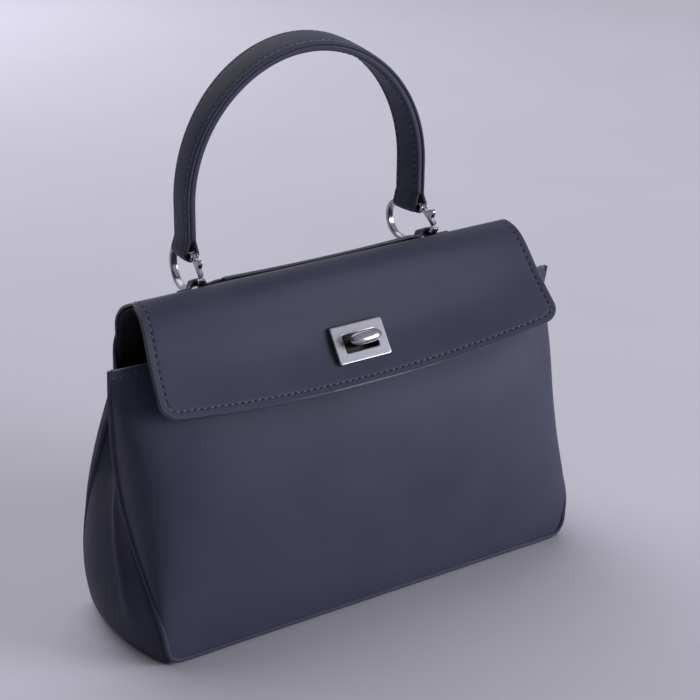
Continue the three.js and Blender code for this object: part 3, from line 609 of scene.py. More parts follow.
slot_columns = np.abs(np.abs(across) * ARCH_HALF - SLOT_HALF_WIDTH).argsort(kind="stable")[:2]
slot_rows = [np.abs(run - row).argmin() for row in lock_rows]
window = (slot_rows[0], slot_rows[1], slot_columns.min(), slot_columns.max())
print("grid of the hide:", hide.shape[:2], "window:", window)

# %% [markdown]
# The flap is two leathers, an outer one and its lining.

# %% Back, arch and flap sheets
FLAP_LEATHER, FLAP_LINING = 1.8, 1.3
TWILL_START, TWILL_END = 8, 1

top_hide = sheet("back_and_flap_leather", hide, FLAP_LEATHER, [leather, paint_and_highlight], hole=window,
                 dent=GROOVE_DEPTH * groove, slot="leather", stands_for=["back_panel", "flap_outer"])
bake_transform(top_hide)
flap_from = np.abs(run - ARCH_LENGTH).argmin()
flap_window = (window[0] - flap_from, window[1] - flap_from, window[2], window[3])
flap_under = sheet("flap_lining_leather", hide[flap_from:], FLAP_LINING, [leather, paint_and_highlight], hole=flap_window,
                   depth=FLAP_LEATHER, slot="leather", stands_for=["flap_lining"])
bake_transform(flap_under)
back_rows = (run > TWILL_START - SHOULDER_HIGH) & (run < ARCH_LENGTH - TWILL_END)
sheet("back_twill", hide[back_rows][::2, 6:-6:2], LINING, [twill], depth=SKIN, body="body", slot="lining",
      stands_for=["back_lining"])

# %% [markdown]
# ## Stitches
# A saddle stitch shows as short slanted bars of thread that dive into the leather at both ends, with an
# awl hole between one bar and the next; the hole is a small near-black mark, painted shade in the pit.
# One bar and one hole are modelled once and then copied along every seam by whole-array arithmetic: each
# copy gets the seam's place, direction and normal.
# Separate objects would be far slower than one mesh.

# %% Stitch helpers
STITCH_PITCH, STITCH_LENGTH, THREAD_RADIUS, SLANT = 4.4, 3.1, 0.42, 0.12
THREAD_RISE, THREAD_DIP, THREAD_SINK = 0.22, 0.5, 0.4
HOLE_LENGTH, HOLE_RADIUS, HOLE_RISE = 1.7, 0.45, -0.2
WAY_REACH = 0.5


def bent_bar(length, radius, rise, dip, sections=7, sides=6):
    """A bent bar: its spine is a parabola that starts at a rise and dips at both ends, and its radius
    shrinks to nothing there."""
    t = np.linspace(-1, 1, sections)
    thick = radius * np.sqrt(1 - t ** 4)[:, None]
    turn = np.linspace(0, 2 * np.pi, sides, endpoint=False)
    along_x = np.broadcast_to((t * length / 2)[:, None], (sections, sides))
    height = thick * np.sin(turn) + (rise - dip * t ** 2)[:, None]
    index = np.arange(sections * sides).reshape(sections, sides)
    index[[0, -1]] = index[[0, -1], :1]
    used, quads = np.unique(grid_quads(index, wrap_columns=True)[:, ::-1], return_inverse=True)
    points = np.stack([along_x, thick * np.cos(turn) + SLANT * along_x, height], -1)
    return points.reshape(-1, 3)[used], quads.reshape(-1, 4)


def set_along(shape, points, normal, first):
    """Copies of a shape along a seam, a pitch apart: x goes along the seam and z along its normals."""
    own = lengths(points)
    at = np.arange(first, own[-1], STITCH_PITCH)
    way = unit(read_line(points, own, at + WAY_REACH) - read_line(points, own, at - WAY_REACH))
    up = read_line(normal, own, at)
    up = unit(up - way * (up * way).sum(1, keepdims=True))
    axes = np.stack([way, np.cross(up, way), up], 1)
    return read_line(points, own, at)[:, None] + np.einsum("kj,njd->nkd", shape, axes)


def stitch_seams(name, seams, **settings):
    """Threads and awl holes along seams, each a line of points and their surface normals."""
    bar, quads = bent_bar(STITCH_LENGTH, THREAD_RADIUS, THREAD_RISE - THREAD_SINK, THREAD_DIP)
    # The holes are small dark marks: painted shade in the awl pits.
    hole, _ = bent_bar(HOLE_LENGTH, HOLE_RADIUS, HOLE_RISE - THREAD_SINK, 0)
    bars = np.vstack([set_along(bar, *seam, STITCH_PITCH / 2) for seam in seams])
    holes = np.vstack([set_along(hole, *seam, STITCH_PITCH) for seam in seams])
    copies = np.vstack([bars, holes])
    corners = (quads[None] + len(bar) * np.arange(len(copies))[:, None, None]).reshape(-1, 4)
    finish_of = np.repeat([0, 1], [len(bars) * len(quads), len(holes) * len(quads)])
    print(f"{name}: {len(bars)} stitches")
    return make_mesh(name, copies.reshape(-1, 3), corners, [thread, awl_hole_shade], slot="leather",
                     finish_of=finish_of, **settings)


def seam_on(face, first, second, step=0.01):
    """Points and normals of a surface along two arrays of its parameters."""
    points = face(first, second)
    return points, unit(np.cross(face(first + step, second) - points, face(first, second + step) - points))


print("faces of one stitch:", len(bent_bar(STITCH_LENGTH, THREAD_RADIUS, 0, THREAD_DIP)[1]))

# %% [markdown]
# The flap's seam runs down one side, round both corners and up the other side, always the same distance
# from the edge. It is drawn flat first, as distance across and distance down, and then laid on the hide.
# The rim's seam follows one level of the front panel.

# %% Flap and rim stitches
RIM_SINK, SEAM_START, LOW_SEAM_HALF, LOW_SEAM_POINTS = 0.12, 1, 110, 90


def hide_at(x, run):
    """The hide at a distance across and a run over the top."""
    return hide_face(-x / half_at(run), np.ones_like(x), run)


turn = np.linspace(0, np.pi / 2, 12)
corner = FLAP_CORNER - STITCH_INSET
side_run = np.linspace(SEAM_START, BOTTOM - FLAP_CORNER, 120)
side_x = np.r_[square_half(side_run) - STITCH_INSET, FLAP_BOTTOM_HALF - FLAP_CORNER + corner * np.cos(turn)]
side_run = np.r_[side_run, BOTTOM - FLAP_CORNER + corner * np.sin(turn)]
seam_x = np.r_[-side_x, np.linspace(-LOW_SEAM_HALF, LOW_SEAM_HALF, LOW_SEAM_POINTS), side_x[::-1]]
seam_run = np.r_[side_run, np.full(LOW_SEAM_POINTS, BOTTOM - STITCH_INSET), side_run[::-1]]
points, normal = seam_on(hide_at, seam_x, seam_run)
flap_stitches = stitch_seams("flap_stitches", [(points, -normal)])
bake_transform(flap_stitches)

rim_angle = panel_angles(STEP / 2, ())
points, normal = seam_on(front_face, rim_angle, np.full(len(rim_angle), RIM_Z - STITCH_INSET))
stitch_seams("rim_stitches", [(points - RIM_SINK * normal, normal)], body="body")

# %% [markdown]
# ## Piping
# The side and bottom seams are piped: a thin strip of leather wrapped round a cord and caught in the
# seam. It is a round profile carried along the seam line, down one side, along the bottom edge and up
# the other. A bevelled curve object could do it, but the handle and the rings need profiles that aren't
# round, so one function carries any profile along any path.


# %% Carried profiles
def tube(rings, poles=None):
    """Points and faces of rings of points, each joined to the next. Two poles close the ends with fans of
    triangles; without poles the last ring joins the first."""
    count, corners = rings.shape[:2]
    index = np.arange(count * corners).reshape(count, corners)
    quads = grid_quads(index, wrap_rows=poles is None, wrap_columns=True)
    if poles is None:
        return rings.reshape(-1, 3), quads
    start = np.stack([np.roll(index[0], -1), index[0], np.full(corners, index.size)], -1)
    end = np.stack([index[-1], np.roll(index[-1], -1), np.full(corners, index.size + 1)], -1)
    fans = np.vstack([start, end])[:, [0, 1, 2, 2]]
    return np.vstack([rings.reshape(-1, 3), poles]), np.vstack([quads, fans])


def swept(name, path, side, top, section, materials, **settings):
    """Profile carried along a path: side and top are the two directions of the section's plane at each
    point of the path, and section holds the profile's (side, top) pairs. The ends are capped."""
    rings = path[:, None] + side[:, None] * section[None, :, :1] + top[:, None] * section[None, :, 1:]
    points, quads = tube(rings, [rings[0].mean(0), rings[-1].mean(0)])
    return make_mesh(name, points, quads, materials, **settings)


def round_profile(radius, sides):
    """Points of a circle, once round."""
    turn = np.linspace(0, 2 * np.pi, sides, endpoint=False)
    return radius * np.stack([np.cos(turn), np.sin(turn)], -1)


print("points of a round profile:", len(round_profile(1, 12)))

# %% Piping
PIPING_RADIUS = 1.7
PIPING_HEIGHTS = np.array([150, 125, 100, 80, 64, 52, 42, 34, 26, 18, 10.0])
PIPING_CORNER = ((1.5, 4), (8, 2.0), (40, 2.0))
PIPED = (("front", FRONT_SEAM, half_width, 174.0), ("back", BACK_SEAM, back_half_width, 157.0))


def piping_line(seam, half, high):
    """Smooth curve down the right seam and round its foot, joined to its mirror image on the left."""
    z = np.r_[high, PIPING_HEIGHTS]
    side = np.stack([half(z), through_knots(seam, z), z], -1)
    foot = [(BASE_HALF - inset, seam[0][1], height) for inset, height in PIPING_CORNER]
    right = np.vstack([side, foot])
    return along(np.vstack([right * [-1, 1, 1], right[::-1]]), np.linspace(0, 1, 420))


for word, seam, half, high in PIPED:
    line = piping_line(seam, half, high)
    way = unit(np.gradient(line, axis=0))
    out = unit(np.cross(way, [0, 1, 0]))
    swept(f"{word}_piping_leather", line, out, np.cross(way, out), round_profile(PIPING_RADIUS, 12),
          [leather], body="body", slot="leather", stands_for=[f"{word}_piping"])

# %% [markdown]
# ## Base
# A flat panel of leather with a board behind it and a loose lining on top. Plates like these, and the
# flat metal pieces later, are made from an outline: each row of the grid is the outline drawn in a
# little, so the rows roll over a rounded edge from the middle of one face to the middle of the other.


# %% Plates
def round_bar(width, height, radius, steps=5):
    """Outline of a bar with round corners: (side, top) pairs round a rectangle, one quarter turn at each
    corner."""
    turn = np.linspace(0, np.pi / 2, steps)
    quarter = radius * np.stack([np.cos(turn), np.sin(turn)], -1)
    centre = np.array([width / 2 - radius, height / 2 - radius])
    return np.vstack([quarter @ np.array([[c, s], [-s, c]]) + centre * [c - s, c + s]
                      for c, s in ((1, 0), (0, 1), (-1, 0), (0, -1))])


def inset(outline, distance):
    """The outline moved inwards: each point goes square to the line between its two neighbours."""
    way = unit(np.roll(outline, -1, 0) - np.roll(outline, 1, 0))
    return outline + distance * np.stack([-way[:, 1], way[:, 0]], -1)


def at_heights(loops, heights):
    """Flat loops of (first, second) pairs, each set at its own height as the third number."""
    tall = np.broadcast_to(np.asarray(heights)[:, None, None], (*loops.shape[:2], 1))
    return np.concatenate([loops, tall], -1)


def plate(name, outline, low, high, edge, origin, axes, materials, steps=4, **settings):
    """Plate between two heights along the third axis, its outline drawn along the first two, with a
    quarter circle at each edge."""
    turn = np.linspace(-np.pi / 2, 0, steps)
    height = np.r_[low + edge + edge * np.sin(turn), high - edge - edge * np.sin(turn[::-1])]
    drawn = np.r_[edge * (1 - np.cos(turn)), edge * (1 - np.cos(turn[::-1]))]
    rings = at_heights(np.stack([inset(outline, distance) for distance in drawn]), height)
    middle = outline.mean(0)
    local, quads = tube(rings, [[*middle, low], [*middle, high]])
    return make_mesh(name, np.asarray(origin) + local @ axes, quads, materials, uv=local[:, :2], **settings)


print("points round a bar:", len(round_bar(2, 1, 0.2)))

# %% Base
FLAT, BASE_MIDDLE = np.eye(3), (0, -3, 0)
BASE_STRAIGHT, BASE_DEPTH, BASE_BOW, BASE_EDGE = 138, 95, 9, 0.8
TWILL_SIZE, TWILL_LOW, TWILL_HIGH, TWILL_EDGE = (256, 77, 6), 5.9, 6.7, 0.3


def bowed(half, depth, bow):
    """Outline with straight long edges and ends that bow out by a parabola."""
    t = np.linspace(-1, 1, 25)
    end = np.c_[half + bow * (1 - t ** 2), t * depth / 2]
    x = np.linspace(half, -half, 30)[1:-1]
    edge = np.c_[x, np.full(len(x), depth / 2)]
    return np.vstack([end, edge, -end, -edge])


plate("base_leather", bowed(BASE_STRAIGHT, BASE_DEPTH, BASE_BOW), 0, LEATHER, BASE_EDGE, BASE_MIDDLE, FLAT,
      [leather], body="body", slot="leather", stands_for=["base_panel"])
plate("base_twill", round_bar(*TWILL_SIZE), TWILL_LOW, TWILL_HIGH, TWILL_EDGE, BASE_MIDDLE, FLAT, [twill],
      body="body", slot="lining", stands_for=["base_lining"])

# %% [markdown]
# ## Turn lock
# A slotted plate on the flap drops over a post on the front, and a bar on the post turns to hold it. The
# plate is a frame: the profile between its slot and its outside, carried round. Its face is flat and its
# edges roll over, which is where polished metal catches the light.

# %% Lock frame
LEAN = np.radians(32.5)
LOCK_AXES = np.array([[1, 0, 0], [0, np.sin(LEAN), np.cos(LEAN)], [0, -np.cos(LEAN), np.sin(LEAN)]])
LOCK = np.array([0, LOCK_Y, LOCK_Z])
FRAME_LOW, FRAME_HIGH = 1.2, 3.5
SLOT_SIZE, FRAME_SIZE = (22.6, 10.6, 1.2), (36.4, 23, 1.6)
FRAME_SHARE = np.array([0, 0.5, 1, 1, 1, 0.985, 0.95, 0.9, 0.86, 0.5, 0.14, 0.1, 0.05, 0.015, 0, 0])
FRAME_RISE = np.array([0, 0, 0, 0.3, 0.72, 0.86, 0.96, 1, 1, 1, 1, 1, 0.96, 0.86, 0.72, 0.3])


def lock_frame():
    """Closed ring of loops: each loop is mixed between the slot's outline and the plate's outline, and
    its height follows a flat face with rolled edges."""
    loops = mix(round_bar(*SLOT_SIZE, 7), round_bar(*FRAME_SIZE, 7), FRAME_SHARE[:, None, None])
    local = at_heights(loops, mix(FRAME_LOW, FRAME_HIGH, FRAME_RISE)) - [0, SLOT_DROP, 0]
    points, quads = tube(LOCK + local @ LOCK_AXES)
    return make_mesh("lock_frame_nickel", points, quads, [satin_nickel], body="flap", slot="nickel",
                     stands_for=["lock_frame"])


lock_frame()

# %% [markdown]
# The knob is a smooth lens on a round stem. A scaled sphere would have pointed ends; powers of the
# sines and cosines blunt them.

# %% Knob
KNOB_LENGTH, KNOB_WIDTH, KNOB_LOW, KNOB_HIGH = 21.6, 8.0, 7.2, 12.8
KNOB_BLUNT, KNOB_SWELL = 0.8, 0.7
STEM_FROM, STEM_TO, STEM_RADIUS, STEM_RINGS = -2.6, 8, 1.5, 6


def knob():
    """Smooth lens: at each height its outline is an ellipse with blunt ends, drawn in by the height's
    own half ellipse."""
    circle = round_profile(1, 72)
    blunt = np.sign(circle) * np.abs(circle) ** KNOB_BLUNT * [KNOB_LENGTH / 2, KNOB_WIDTH / 2]
    rise = np.linspace(-np.pi / 2, np.pi / 2, 25)[1:-1]
    loops = blunt * (np.cos(rise) ** KNOB_SWELL)[:, None, None]
    rings = at_heights(loops, mix(KNOB_LOW, KNOB_HIGH, (1 + np.sin(rise)) / 2))
    local, quads = tube(rings, [(0, 0, KNOB_LOW), (0, 0, KNOB_HIGH)])
    return make_mesh("knob_nickel", LOCK + local @ LOCK_AXES, quads, [nickel], body="knob", slot="nickel",
                     stands_for=["turn_knob"])


knob()
stem_path = LOCK + np.linspace(STEM_FROM, STEM_TO, STEM_RINGS)[:, None] * LOCK_AXES[2]
stem_side, stem_top = (np.tile(LOCK_AXES[axis], (STEM_RINGS, 1)) for axis in (0, 1))
swept("knob_stem", stem_path, stem_side, stem_top, round_profile(STEM_RADIUS, 24), [nickel], body="knob",
      slot="nickel")

# %% [markdown]
# ## Handle
# The handle is a stiff strap: an outer strip of leather that goes down round each ring and up again on
# the inside, and a padded inner layer. Both are flat profiles carried along the arch. The arch is drawn
# flat, as a side view, and then set into space, so seams and strips share its lean and twist.

# %% Handle arch
HANDLE_Y, HANDLE_LEAN = 24.0, 0.05
HANDLE_TOE, HANDLE_ROLL = np.radians(6), np.radians(10)
HANDLE_HALF, HANDLE_RISE, SPRING_Z = 79.2, 85.2, 246.0
OUTER_OFFSET, TURN_RADIUS, TURN_TIP_Z = 1.9, 3.9, 226.0
RING_X, RING_Z, RING_RADIUS = 79.5, 206.2, 12.5
RING_TOP = RING_Z + RING_RADIUS


def arch_line(offset, end_z):
    """Half an ellipse on two straight legs, from the left end to the right end, in the X-Z plane."""
    turn = np.linspace(np.pi, 0, 161)
    half = HANDLE_HALF + offset
    over = np.stack([half * np.cos(turn), SPRING_Z + (HANDLE_RISE + offset) * np.sin(turn)], -1)
    leg = np.linspace(end_z, SPRING_Z, 9)[:-1]
    right = np.c_[np.full(len(leg), half), leg]
    return np.vstack([right * [-1, 1], over, right[::-1]])


def outer_line():
    """The arch, and at each end a turn round the ring's bar and a short way up inside."""
    turn = np.linspace(-0.15 * np.pi, 1.15 * np.pi, 25)
    bend = np.stack([RING_X + TURN_RADIUS * np.cos(turn), RING_TOP - TURN_RADIUS * np.sin(turn)], -1)
    right = np.vstack([bend, [HANDLE_HALF - OUTER_OFFSET, TURN_TIP_Z]])
    line = np.vstack([(right * [-1, 1])[::-1], arch_line(OUTER_OFFSET, TURN_TIP_Z), right])
    return along(line, np.linspace(0, 1, 360), 2400)


def strap_place(line, across):
    """Points of a side view set into space, at a distance across the strap from its middle. The strap
    leans forward with height, its legs toe out towards the front and its top rolls forward."""
    x, z = line.T
    y = HANDLE_Y + across - HANDLE_LEAN * (z - RING_TOP)
    roll = np.tan(HANDLE_ROLL) * ease(z, SPRING_Z, SPRING_Z + HANDLE_RISE)
    return np.stack([x * (1 - np.tan(HANDLE_TOE) * across / RING_X), y, z + across * roll], -1)


print("top of the arch:", strap_place(arch_line(OUTER_OFFSET, TURN_TIP_Z), 0)[:, 2].max(), "mm")

# %% [markdown]
# The strap's section is flat with round edges. Its face is crowned by half a millimetre, as leather over a
# core is, and dips where a seam pulls it down.

# %% Handle strap
HANDLE_WIDTH = 21.0
INNER_OFFSET, INNER_GAP, INNER_NARROWER = -0.9, 0.4, 0.2
STRAP_INSET, STRAP_DIP, STRAP_DIP_WIDTH = 3, 0.3, 0.7


def strap(name, line, profile, **settings):
    """Profile carried along a side view, its first direction across the strap and its second outwards."""
    path = strap_place(line, 0)
    side = strap_place(line, 1) - path
    top = unit(np.cross(np.gradient(path, axis=0), side))
    return swept(name, path, side, top, profile, [handle_leather], body="handle", slot="leather", **settings)


def crowned(width, thick, radius, crown):
    """Flat profile with round edges. Its upper face rises in the middle by a parabola and dips under each
    seam by a bell curve."""
    edge = round_bar(width, thick, radius, 6)
    x = np.linspace(width / 2 - radius, -width / 2 + radius, 22)[1:-1]
    profile = np.vstack([edge[:6], np.c_[x, np.full(len(x), thick / 2)], edge[6:]])
    aside = np.abs(profile[:, 0])
    rise = crown * (1 - (2 * aside / width) ** 2)
    rise = rise - STRAP_DIP * bell(aside, width / 2 - STRAP_INSET, STRAP_DIP_WIDTH)
    return profile + np.c_[np.zeros(len(profile)), rise * (profile[:, 1] > 0)]


outer_profile = crowned(HANDLE_WIDTH, thick=1.9, radius=0.85, crown=0.5)
strap("handle_outer_leather", outer_line(), outer_profile, stands_for=["handle_outer"])
inner_profile = crowned(HANDLE_WIDTH - INNER_NARROWER, thick=3.8, radius=1.3, crown=0.4) * [-1, -1]
strap("handle_inner_leather", arch_line(INNER_OFFSET, TURN_TIP_Z + INNER_GAP), inner_profile,
      stands_for=["handle_core", "handle_lining"])

# %% [markdown]
# Two seams run along each face of the strap. They use the same arch, moved out to the face and across to
# the seam, so they lie in the dips of the profile.

# %% Handle stitches
OUTER_SEAM, INNER_SEAM, SEAM_END = OUTER_OFFSET + 1.15, -3.15, 3


def strap_seam(offset, across, up):
    """Points and outward normals of the arch at an offset, read at a distance across the strap."""
    line = arch_line(offset, TURN_TIP_Z + SEAM_END)
    points = strap_place(line, across)
    normal = np.cross(np.gradient(points, axis=0), strap_place(line, across + 1) - points)
    return points, unit(normal) * up


edge_y = HANDLE_WIDTH / 2 - STRAP_INSET
seams = [strap_seam(offset, across, up) for offset, up in ((OUTER_SEAM, 1), (INNER_SEAM, -1))
         for across in (-edge_y, edge_y)]
stitch_seams("handle_stitches", seams, body="handle")

# %% [markdown]
# ## Rings and gates
# Each ring is a bent bar: a straight top that carries the strap, a round back, a bottom bar that rises
# to the front and a small nose. The front is closed by a gate on a pin, with a fin for the thumb. The
# ring is a bar profile carried along its centre line; gate and cheeks are plates.

# %% Ring and gate outlines
RING_BACK, RING_TAPER, RING_NOSE, NOSE_START = -11.5, np.radians(23), 2.5, 17.5
RING_BAR, RING_DEPTH, RING_EDGE, RING_AHEAD = 2.9, 4.4, 0.8, 4.2
GATE_TOP, GATE_FOOT, TOP_GAP, FOOT_GAP = np.array([8.2, 12.1]), np.array([19.6, 2.3]), 2.6, 1.2
GATE_DEPTH, GATE_EYE, GATE_ARM, GATE_EDGE = 2.7, 1.7, 1.6, 0.5
GATE_TIP = [(3, -1.6), (0.3, -1.6), (0, -1.3), (0, 1.2)]
GATE_FIN = [(3.6, 1.8), (4.0, 3.4), (4.6, 5.1), (5.4, 6.2), (6.5, 6.7), (7.6, 6.3), (8.4, 5.1), (8.9, 3.4),
            (9.3, 1.8)]
CHEEK, CHEEK_EDGE, EAR_RADIUS = 0.7, 0.2, 1.9
EAR_BACK = [(-4, 1.9), (-4.3, 0), (-4, -1.2)]


def ring_plane(side):
    """Middle of a ring, and the directions of its plane: forward and outward, up, and square to both."""
    forward = np.array([side * np.sin(HANDLE_TOE), -np.cos(HANDLE_TOE), 0])
    axes = np.array([forward, [0, 0, 1], np.cross(forward, [0, 0, 1])])
    return np.array([side * RING_X, HANDLE_Y, RING_Z]) + RING_AHEAD * forward, axes


def bottom_bar(forward):
    """Height of the bottom bar's middle in the ring's plane: a straight line that leaves the round back."""
    turned = 1.5 * np.pi + RING_TAPER
    start = RING_BACK + RING_RADIUS * np.cos(turned)
    return RING_RADIUS * np.sin(turned) + (forward - start) * np.tan(RING_TAPER)


def ring_line():
    """Centre line of a ring in its plane, as (forward, upward) pairs: the top, the arc of the back and the
    arc of the nose, with the bottom bar as the straight step between the arcs."""
    back = np.linspace(np.pi / 2, 1.5 * np.pi + RING_TAPER, 48)
    nose = np.linspace(RING_TAPER - np.pi / 2, 0.1, 16)
    lift = RING_NOSE * np.array([-np.sin(RING_TAPER), np.cos(RING_TAPER)])
    forward = np.linspace(GATE_TOP[0] - TOP_GAP, RING_BACK, 12)[:-1]
    return np.vstack([
        np.c_[forward, np.full(len(forward), RING_RADIUS)],
        np.c_[RING_BACK + RING_RADIUS * np.cos(back), RING_RADIUS * np.sin(back)],
        [NOSE_START, bottom_bar(NOSE_START)] + lift + RING_NOSE * np.c_[np.cos(nose), np.sin(nose)],
    ])


def ear_outline():
    """Cheek beside the gate's eye: half a circle round the pin and a blunt back."""
    turn = np.linspace(-np.pi / 2, np.pi / 2, 14)
    return GATE_TOP + np.vstack([EAR_RADIUS * np.c_[np.cos(turn), np.sin(turn)], EAR_BACK])


def gate_outline():
    """Gate in its own line, from the pin to the foot: round eye, straight arm, tip and a fin with a rounded
    thumb end. Tip and fin are (distance back from the tip, height) pairs."""
    eye = np.linspace(0.3 * np.pi, 1.7 * np.pi, 14)
    reach = np.linalg.norm(GATE_FOOT - GATE_TOP) - FOOT_GAP
    end = np.array(GATE_TIP + GATE_FIN) * [-1, 1] + [reach, 0]
    flat = np.vstack([GATE_EYE * np.c_[np.cos(eye), np.sin(eye)], (GATE_ARM, -GATE_ARM), end])
    way = unit(GATE_FOOT - GATE_TOP)
    return GATE_TOP + flat @ np.array([way, [-way[1], way[0]]])


print("points round a gate:", len(gate_outline()))

# %% Rings and gates
for side, word in SIDES:
    centre, plane = ring_plane(side)
    path = centre + ring_line() @ plane[:2]
    way = unit(np.gradient(path, axis=0))
    out = np.tile(-plane[2], (len(path), 1))
    swept(f"{word}_ring_nickel", path, out, np.cross(way, out), round_bar(RING_DEPTH, RING_BAR, RING_EDGE),
          [nickel], body="handle", slot="nickel", stands_for=[f"{word}_ring"])
    for low in (-RING_DEPTH / 2, RING_DEPTH / 2 - CHEEK):
        plate(f"{word}_ring_cheek", ear_outline(), low, low + CHEEK, CHEEK_EDGE, centre, plane, [nickel],
              body="handle", slot="nickel")
    plate(f"{word}_gate_nickel", gate_outline(), -GATE_DEPTH / 2, GATE_DEPTH / 2, GATE_EDGE, centre, plane,
          [nickel], body=f"{word}_gate", slot="nickel", stands_for=[f"{word}_gate"])

# %% [markdown]
# ## Ring tabs
# A strip of leather lies across each ring's bottom bar and is sewn to the arch on both sides of it. Its
# middle stands up over the bar and its ends lie flat. It twists when the handle swings.

# %% Ring tabs
TAB_MIDDLE, TAB_HALF_WIDTH, TAB_HALF_LENGTH, TAB_LEATHER, TAB_STEP = 9.0, 5.0, 14.0, 1.6, 0.8
TAB_GAP, BAR_GAP, TAB_DROP = 0.1, 0.6, (2.5, 6.4)
TAB_LIFT, TAB_LIFT_END, ARCH_BEYOND = 1.6, 12, 6


def tab_face(side):
    """Height of the strip: the arch's own height at its ends, the bar's at its middle, with an S between
    them."""
    centre, plane = ring_plane(side)
    arch = over_the_top(FLAP_MIDDLE, np.linspace(0, ARCH_LENGTH + ARCH_BEYOND, 300))
    forward = TAB_MIDDLE - TAB_HALF_WIDTH + spaced(2 * TAB_HALF_WIDTH, TAB_STEP, EDGE_STEPS[:3])
    x = -TAB_HALF_LENGTH + spaced(2 * TAB_HALF_LENGTH, TAB_STEP, EDGE_STEPS[:3])
    middle = (centre + forward[:, None] * plane[0])[:, None, :]
    rest = np.interp(-middle[..., 1], -arch[:, 0], arch[:, 1]) + TAB_LEATHER + TAB_GAP
    rest = rest + TAB_LIFT * ease(side * x, 0, TAB_LIFT_END)
    crest = RING_Z + bottom_bar(forward)[:, None] + RING_BAR / 2 + BAR_GAP + TAB_LEATHER
    height = np.maximum(mix(crest, rest, ease(np.abs(x), *TAB_DROP)[None, :]), rest)
    return np.stack(np.broadcast_arrays(middle[..., 0] - x, middle[..., 1], height), -1)


for side, word in SIDES:
    tab = sheet(f"{word}_tab_leather", tab_face(side), TAB_LEATHER, [leather, paint_and_highlight], slot="leather",
                stands_for=[f"{word}_tab"])
    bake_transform(tab)

# %% [markdown]
# ## Ridge strip
# Between the tabs the same strap runs along the ridge, just behind the bend, and is sewn down along its
# middle. It follows the arch's own side view, moved outwards, and its ends lift towards the rings.

# %% Ridge strip
RIDGE_HALF, RIDGE_FRONT, RIDGE_BACK, RIDGE_LIFT = 66.4, 2.6, 12.9, 1.2
RIDGE_LEATHER, RIDGE_GAP, RIDGE_INSET = 2.0, 0.15, 2.2
STEP_ALONG, STEP_ACROSS = 1.5, 0.5
RIDGE_SEAM_SHARE, RIDGE_SEAM_POINTS = 0.4, 200


def ridge_face(x, share):
    """The arch's side view between two depths, raised square to itself, with a parabola along the
    strip."""
    arch = over_the_top(FLAP_MIDDLE, np.linspace(0, ARCH_LENGTH, 400))
    way = unit(np.gradient(arch, axis=0))
    raised = arch + (RIDGE_LEATHER + RIDGE_GAP) * np.c_[way[:, 1], -way[:, 0]]
    y = mix(RIDGE_BACK, RIDGE_FRONT, share)
    z = np.interp(-y, -raised[:, 0], raised[:, 1]) + RIDGE_LIFT * (x / RIDGE_HALF) ** 2
    return np.stack(np.broadcast_arrays(x, y, z), -1)


strip_x = RIDGE_HALF - spaced(2 * RIDGE_HALF, STEP_ALONG, EDGE_STEPS)
strip_share = spaced(RIDGE_BACK - RIDGE_FRONT, STEP_ACROSS, EDGE_STEPS) / (RIDGE_BACK - RIDGE_FRONT)
sheet("ridge_strip_leather", ridge_face(strip_x[None, :], strip_share[:, None]), RIDGE_LEATHER,
      [leather, paint_and_highlight], body="body", slot="leather", stands_for=["ridge_strip"])
seam_x = np.linspace(RIDGE_INSET - RIDGE_HALF, RIDGE_HALF - RIDGE_INSET, RIDGE_SEAM_POINTS)
points, normal = seam_on(ridge_face, seam_x, np.full(RIDGE_SEAM_POINTS, RIDGE_SEAM_SHARE))
stitch_seams("ridge_stitches", [(points, -normal)], body="body")

# %% [markdown]
# ## Carried-over pieces
# The lock's post, the plates behind the leather, the gate pins and the base board have the right shape
# already. They keep their CAD meshes and get a finish. Welding the loose triangles lets a small bevel
# soften the metal edges.

# %% Carried-over pieces
WELD_DISTANCE, BEVEL_WIDTH = 0.01, 0.15
# The lock base takes the dark nickel that paints the shade inside the slot.
kept = {"lock_base": dark_nickel_painted_shade, "lock_frame_back": nickel, "lock_washer": nickel, "left_gate_pin": nickel,
        "right_gate_pin": nickel, "base_board": board}
for name, finish in kept.items():
    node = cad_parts[name]
    node.data.materials.clear()
    node.data.materials.append(finish)
    weld = node.modifiers.new("weld", "WELD")
    weld.merge_threshold = WELD_DISTANCE * MM
    bevel = node.modifiers.new("edge", "BEVEL")
    bevel.width, bevel.segments, bevel.limit_method = BEVEL_WIDTH * MM, 2, "ANGLE"
print("carried over:", len(kept))

# %% [markdown]
# ## Floor
# A pale painted floor, one large square just under the bag. A slow noise clouds its colour a little, so
# that it isn't one flat tone.

# %% Floor
FLOOR_HALF, FLOOR_Z, FLOOR_CLOUD = 4000, -0.4, 160

floor_paint = two_tone("Pale studio floor", "#e2e0ec", "#e8e6f2", NOISE,
                       {"Scale": per_mm(FLOOR_CLOUD), "Detail": 2.0}, Roughness=0.9, Specular_IOR_Level=0.2)
corners = np.array([(-1, -1), (1, -1), (1, 1), (-1, 1)]) * FLOOR_HALF
floor = make_mesh("floor", np.c_[corners, np.full(4, FLOOR_Z)], np.array([[0, 1, 2, 3]]), [floor_paint])

# %% [markdown]
# ## Light
# A large soft lamp low on the right like a window, a wide soft sun from above and behind, which lights the
# floor evenly to the horizon, and a weak lamp at the back. Low light from the side shows how full the
# panels are. The world is dim for the leather, so the shaded side stays dark, and pale for the camera.
# Places in the room are in metres.


# %% Lamps
def lamp(name, kind, place, target, power, colour, **spread):
    """A lamp turned from its place to a target; spread is an area lamp's size or a sun's angle."""
    light = bpy.data.lights.new(name, kind)
    light.energy, light.color = power, linear(colour)[:3]
    for key, value in spread.items():
        setattr(light, key, value)
    holder = bpy.data.objects.new(name, light)
    bpy.context.collection.objects.link(holder)
    holder.location = place
    holder.rotation_euler = Vector(np.subtract(target, place)).to_track_quat("-Z", "Y").to_euler()


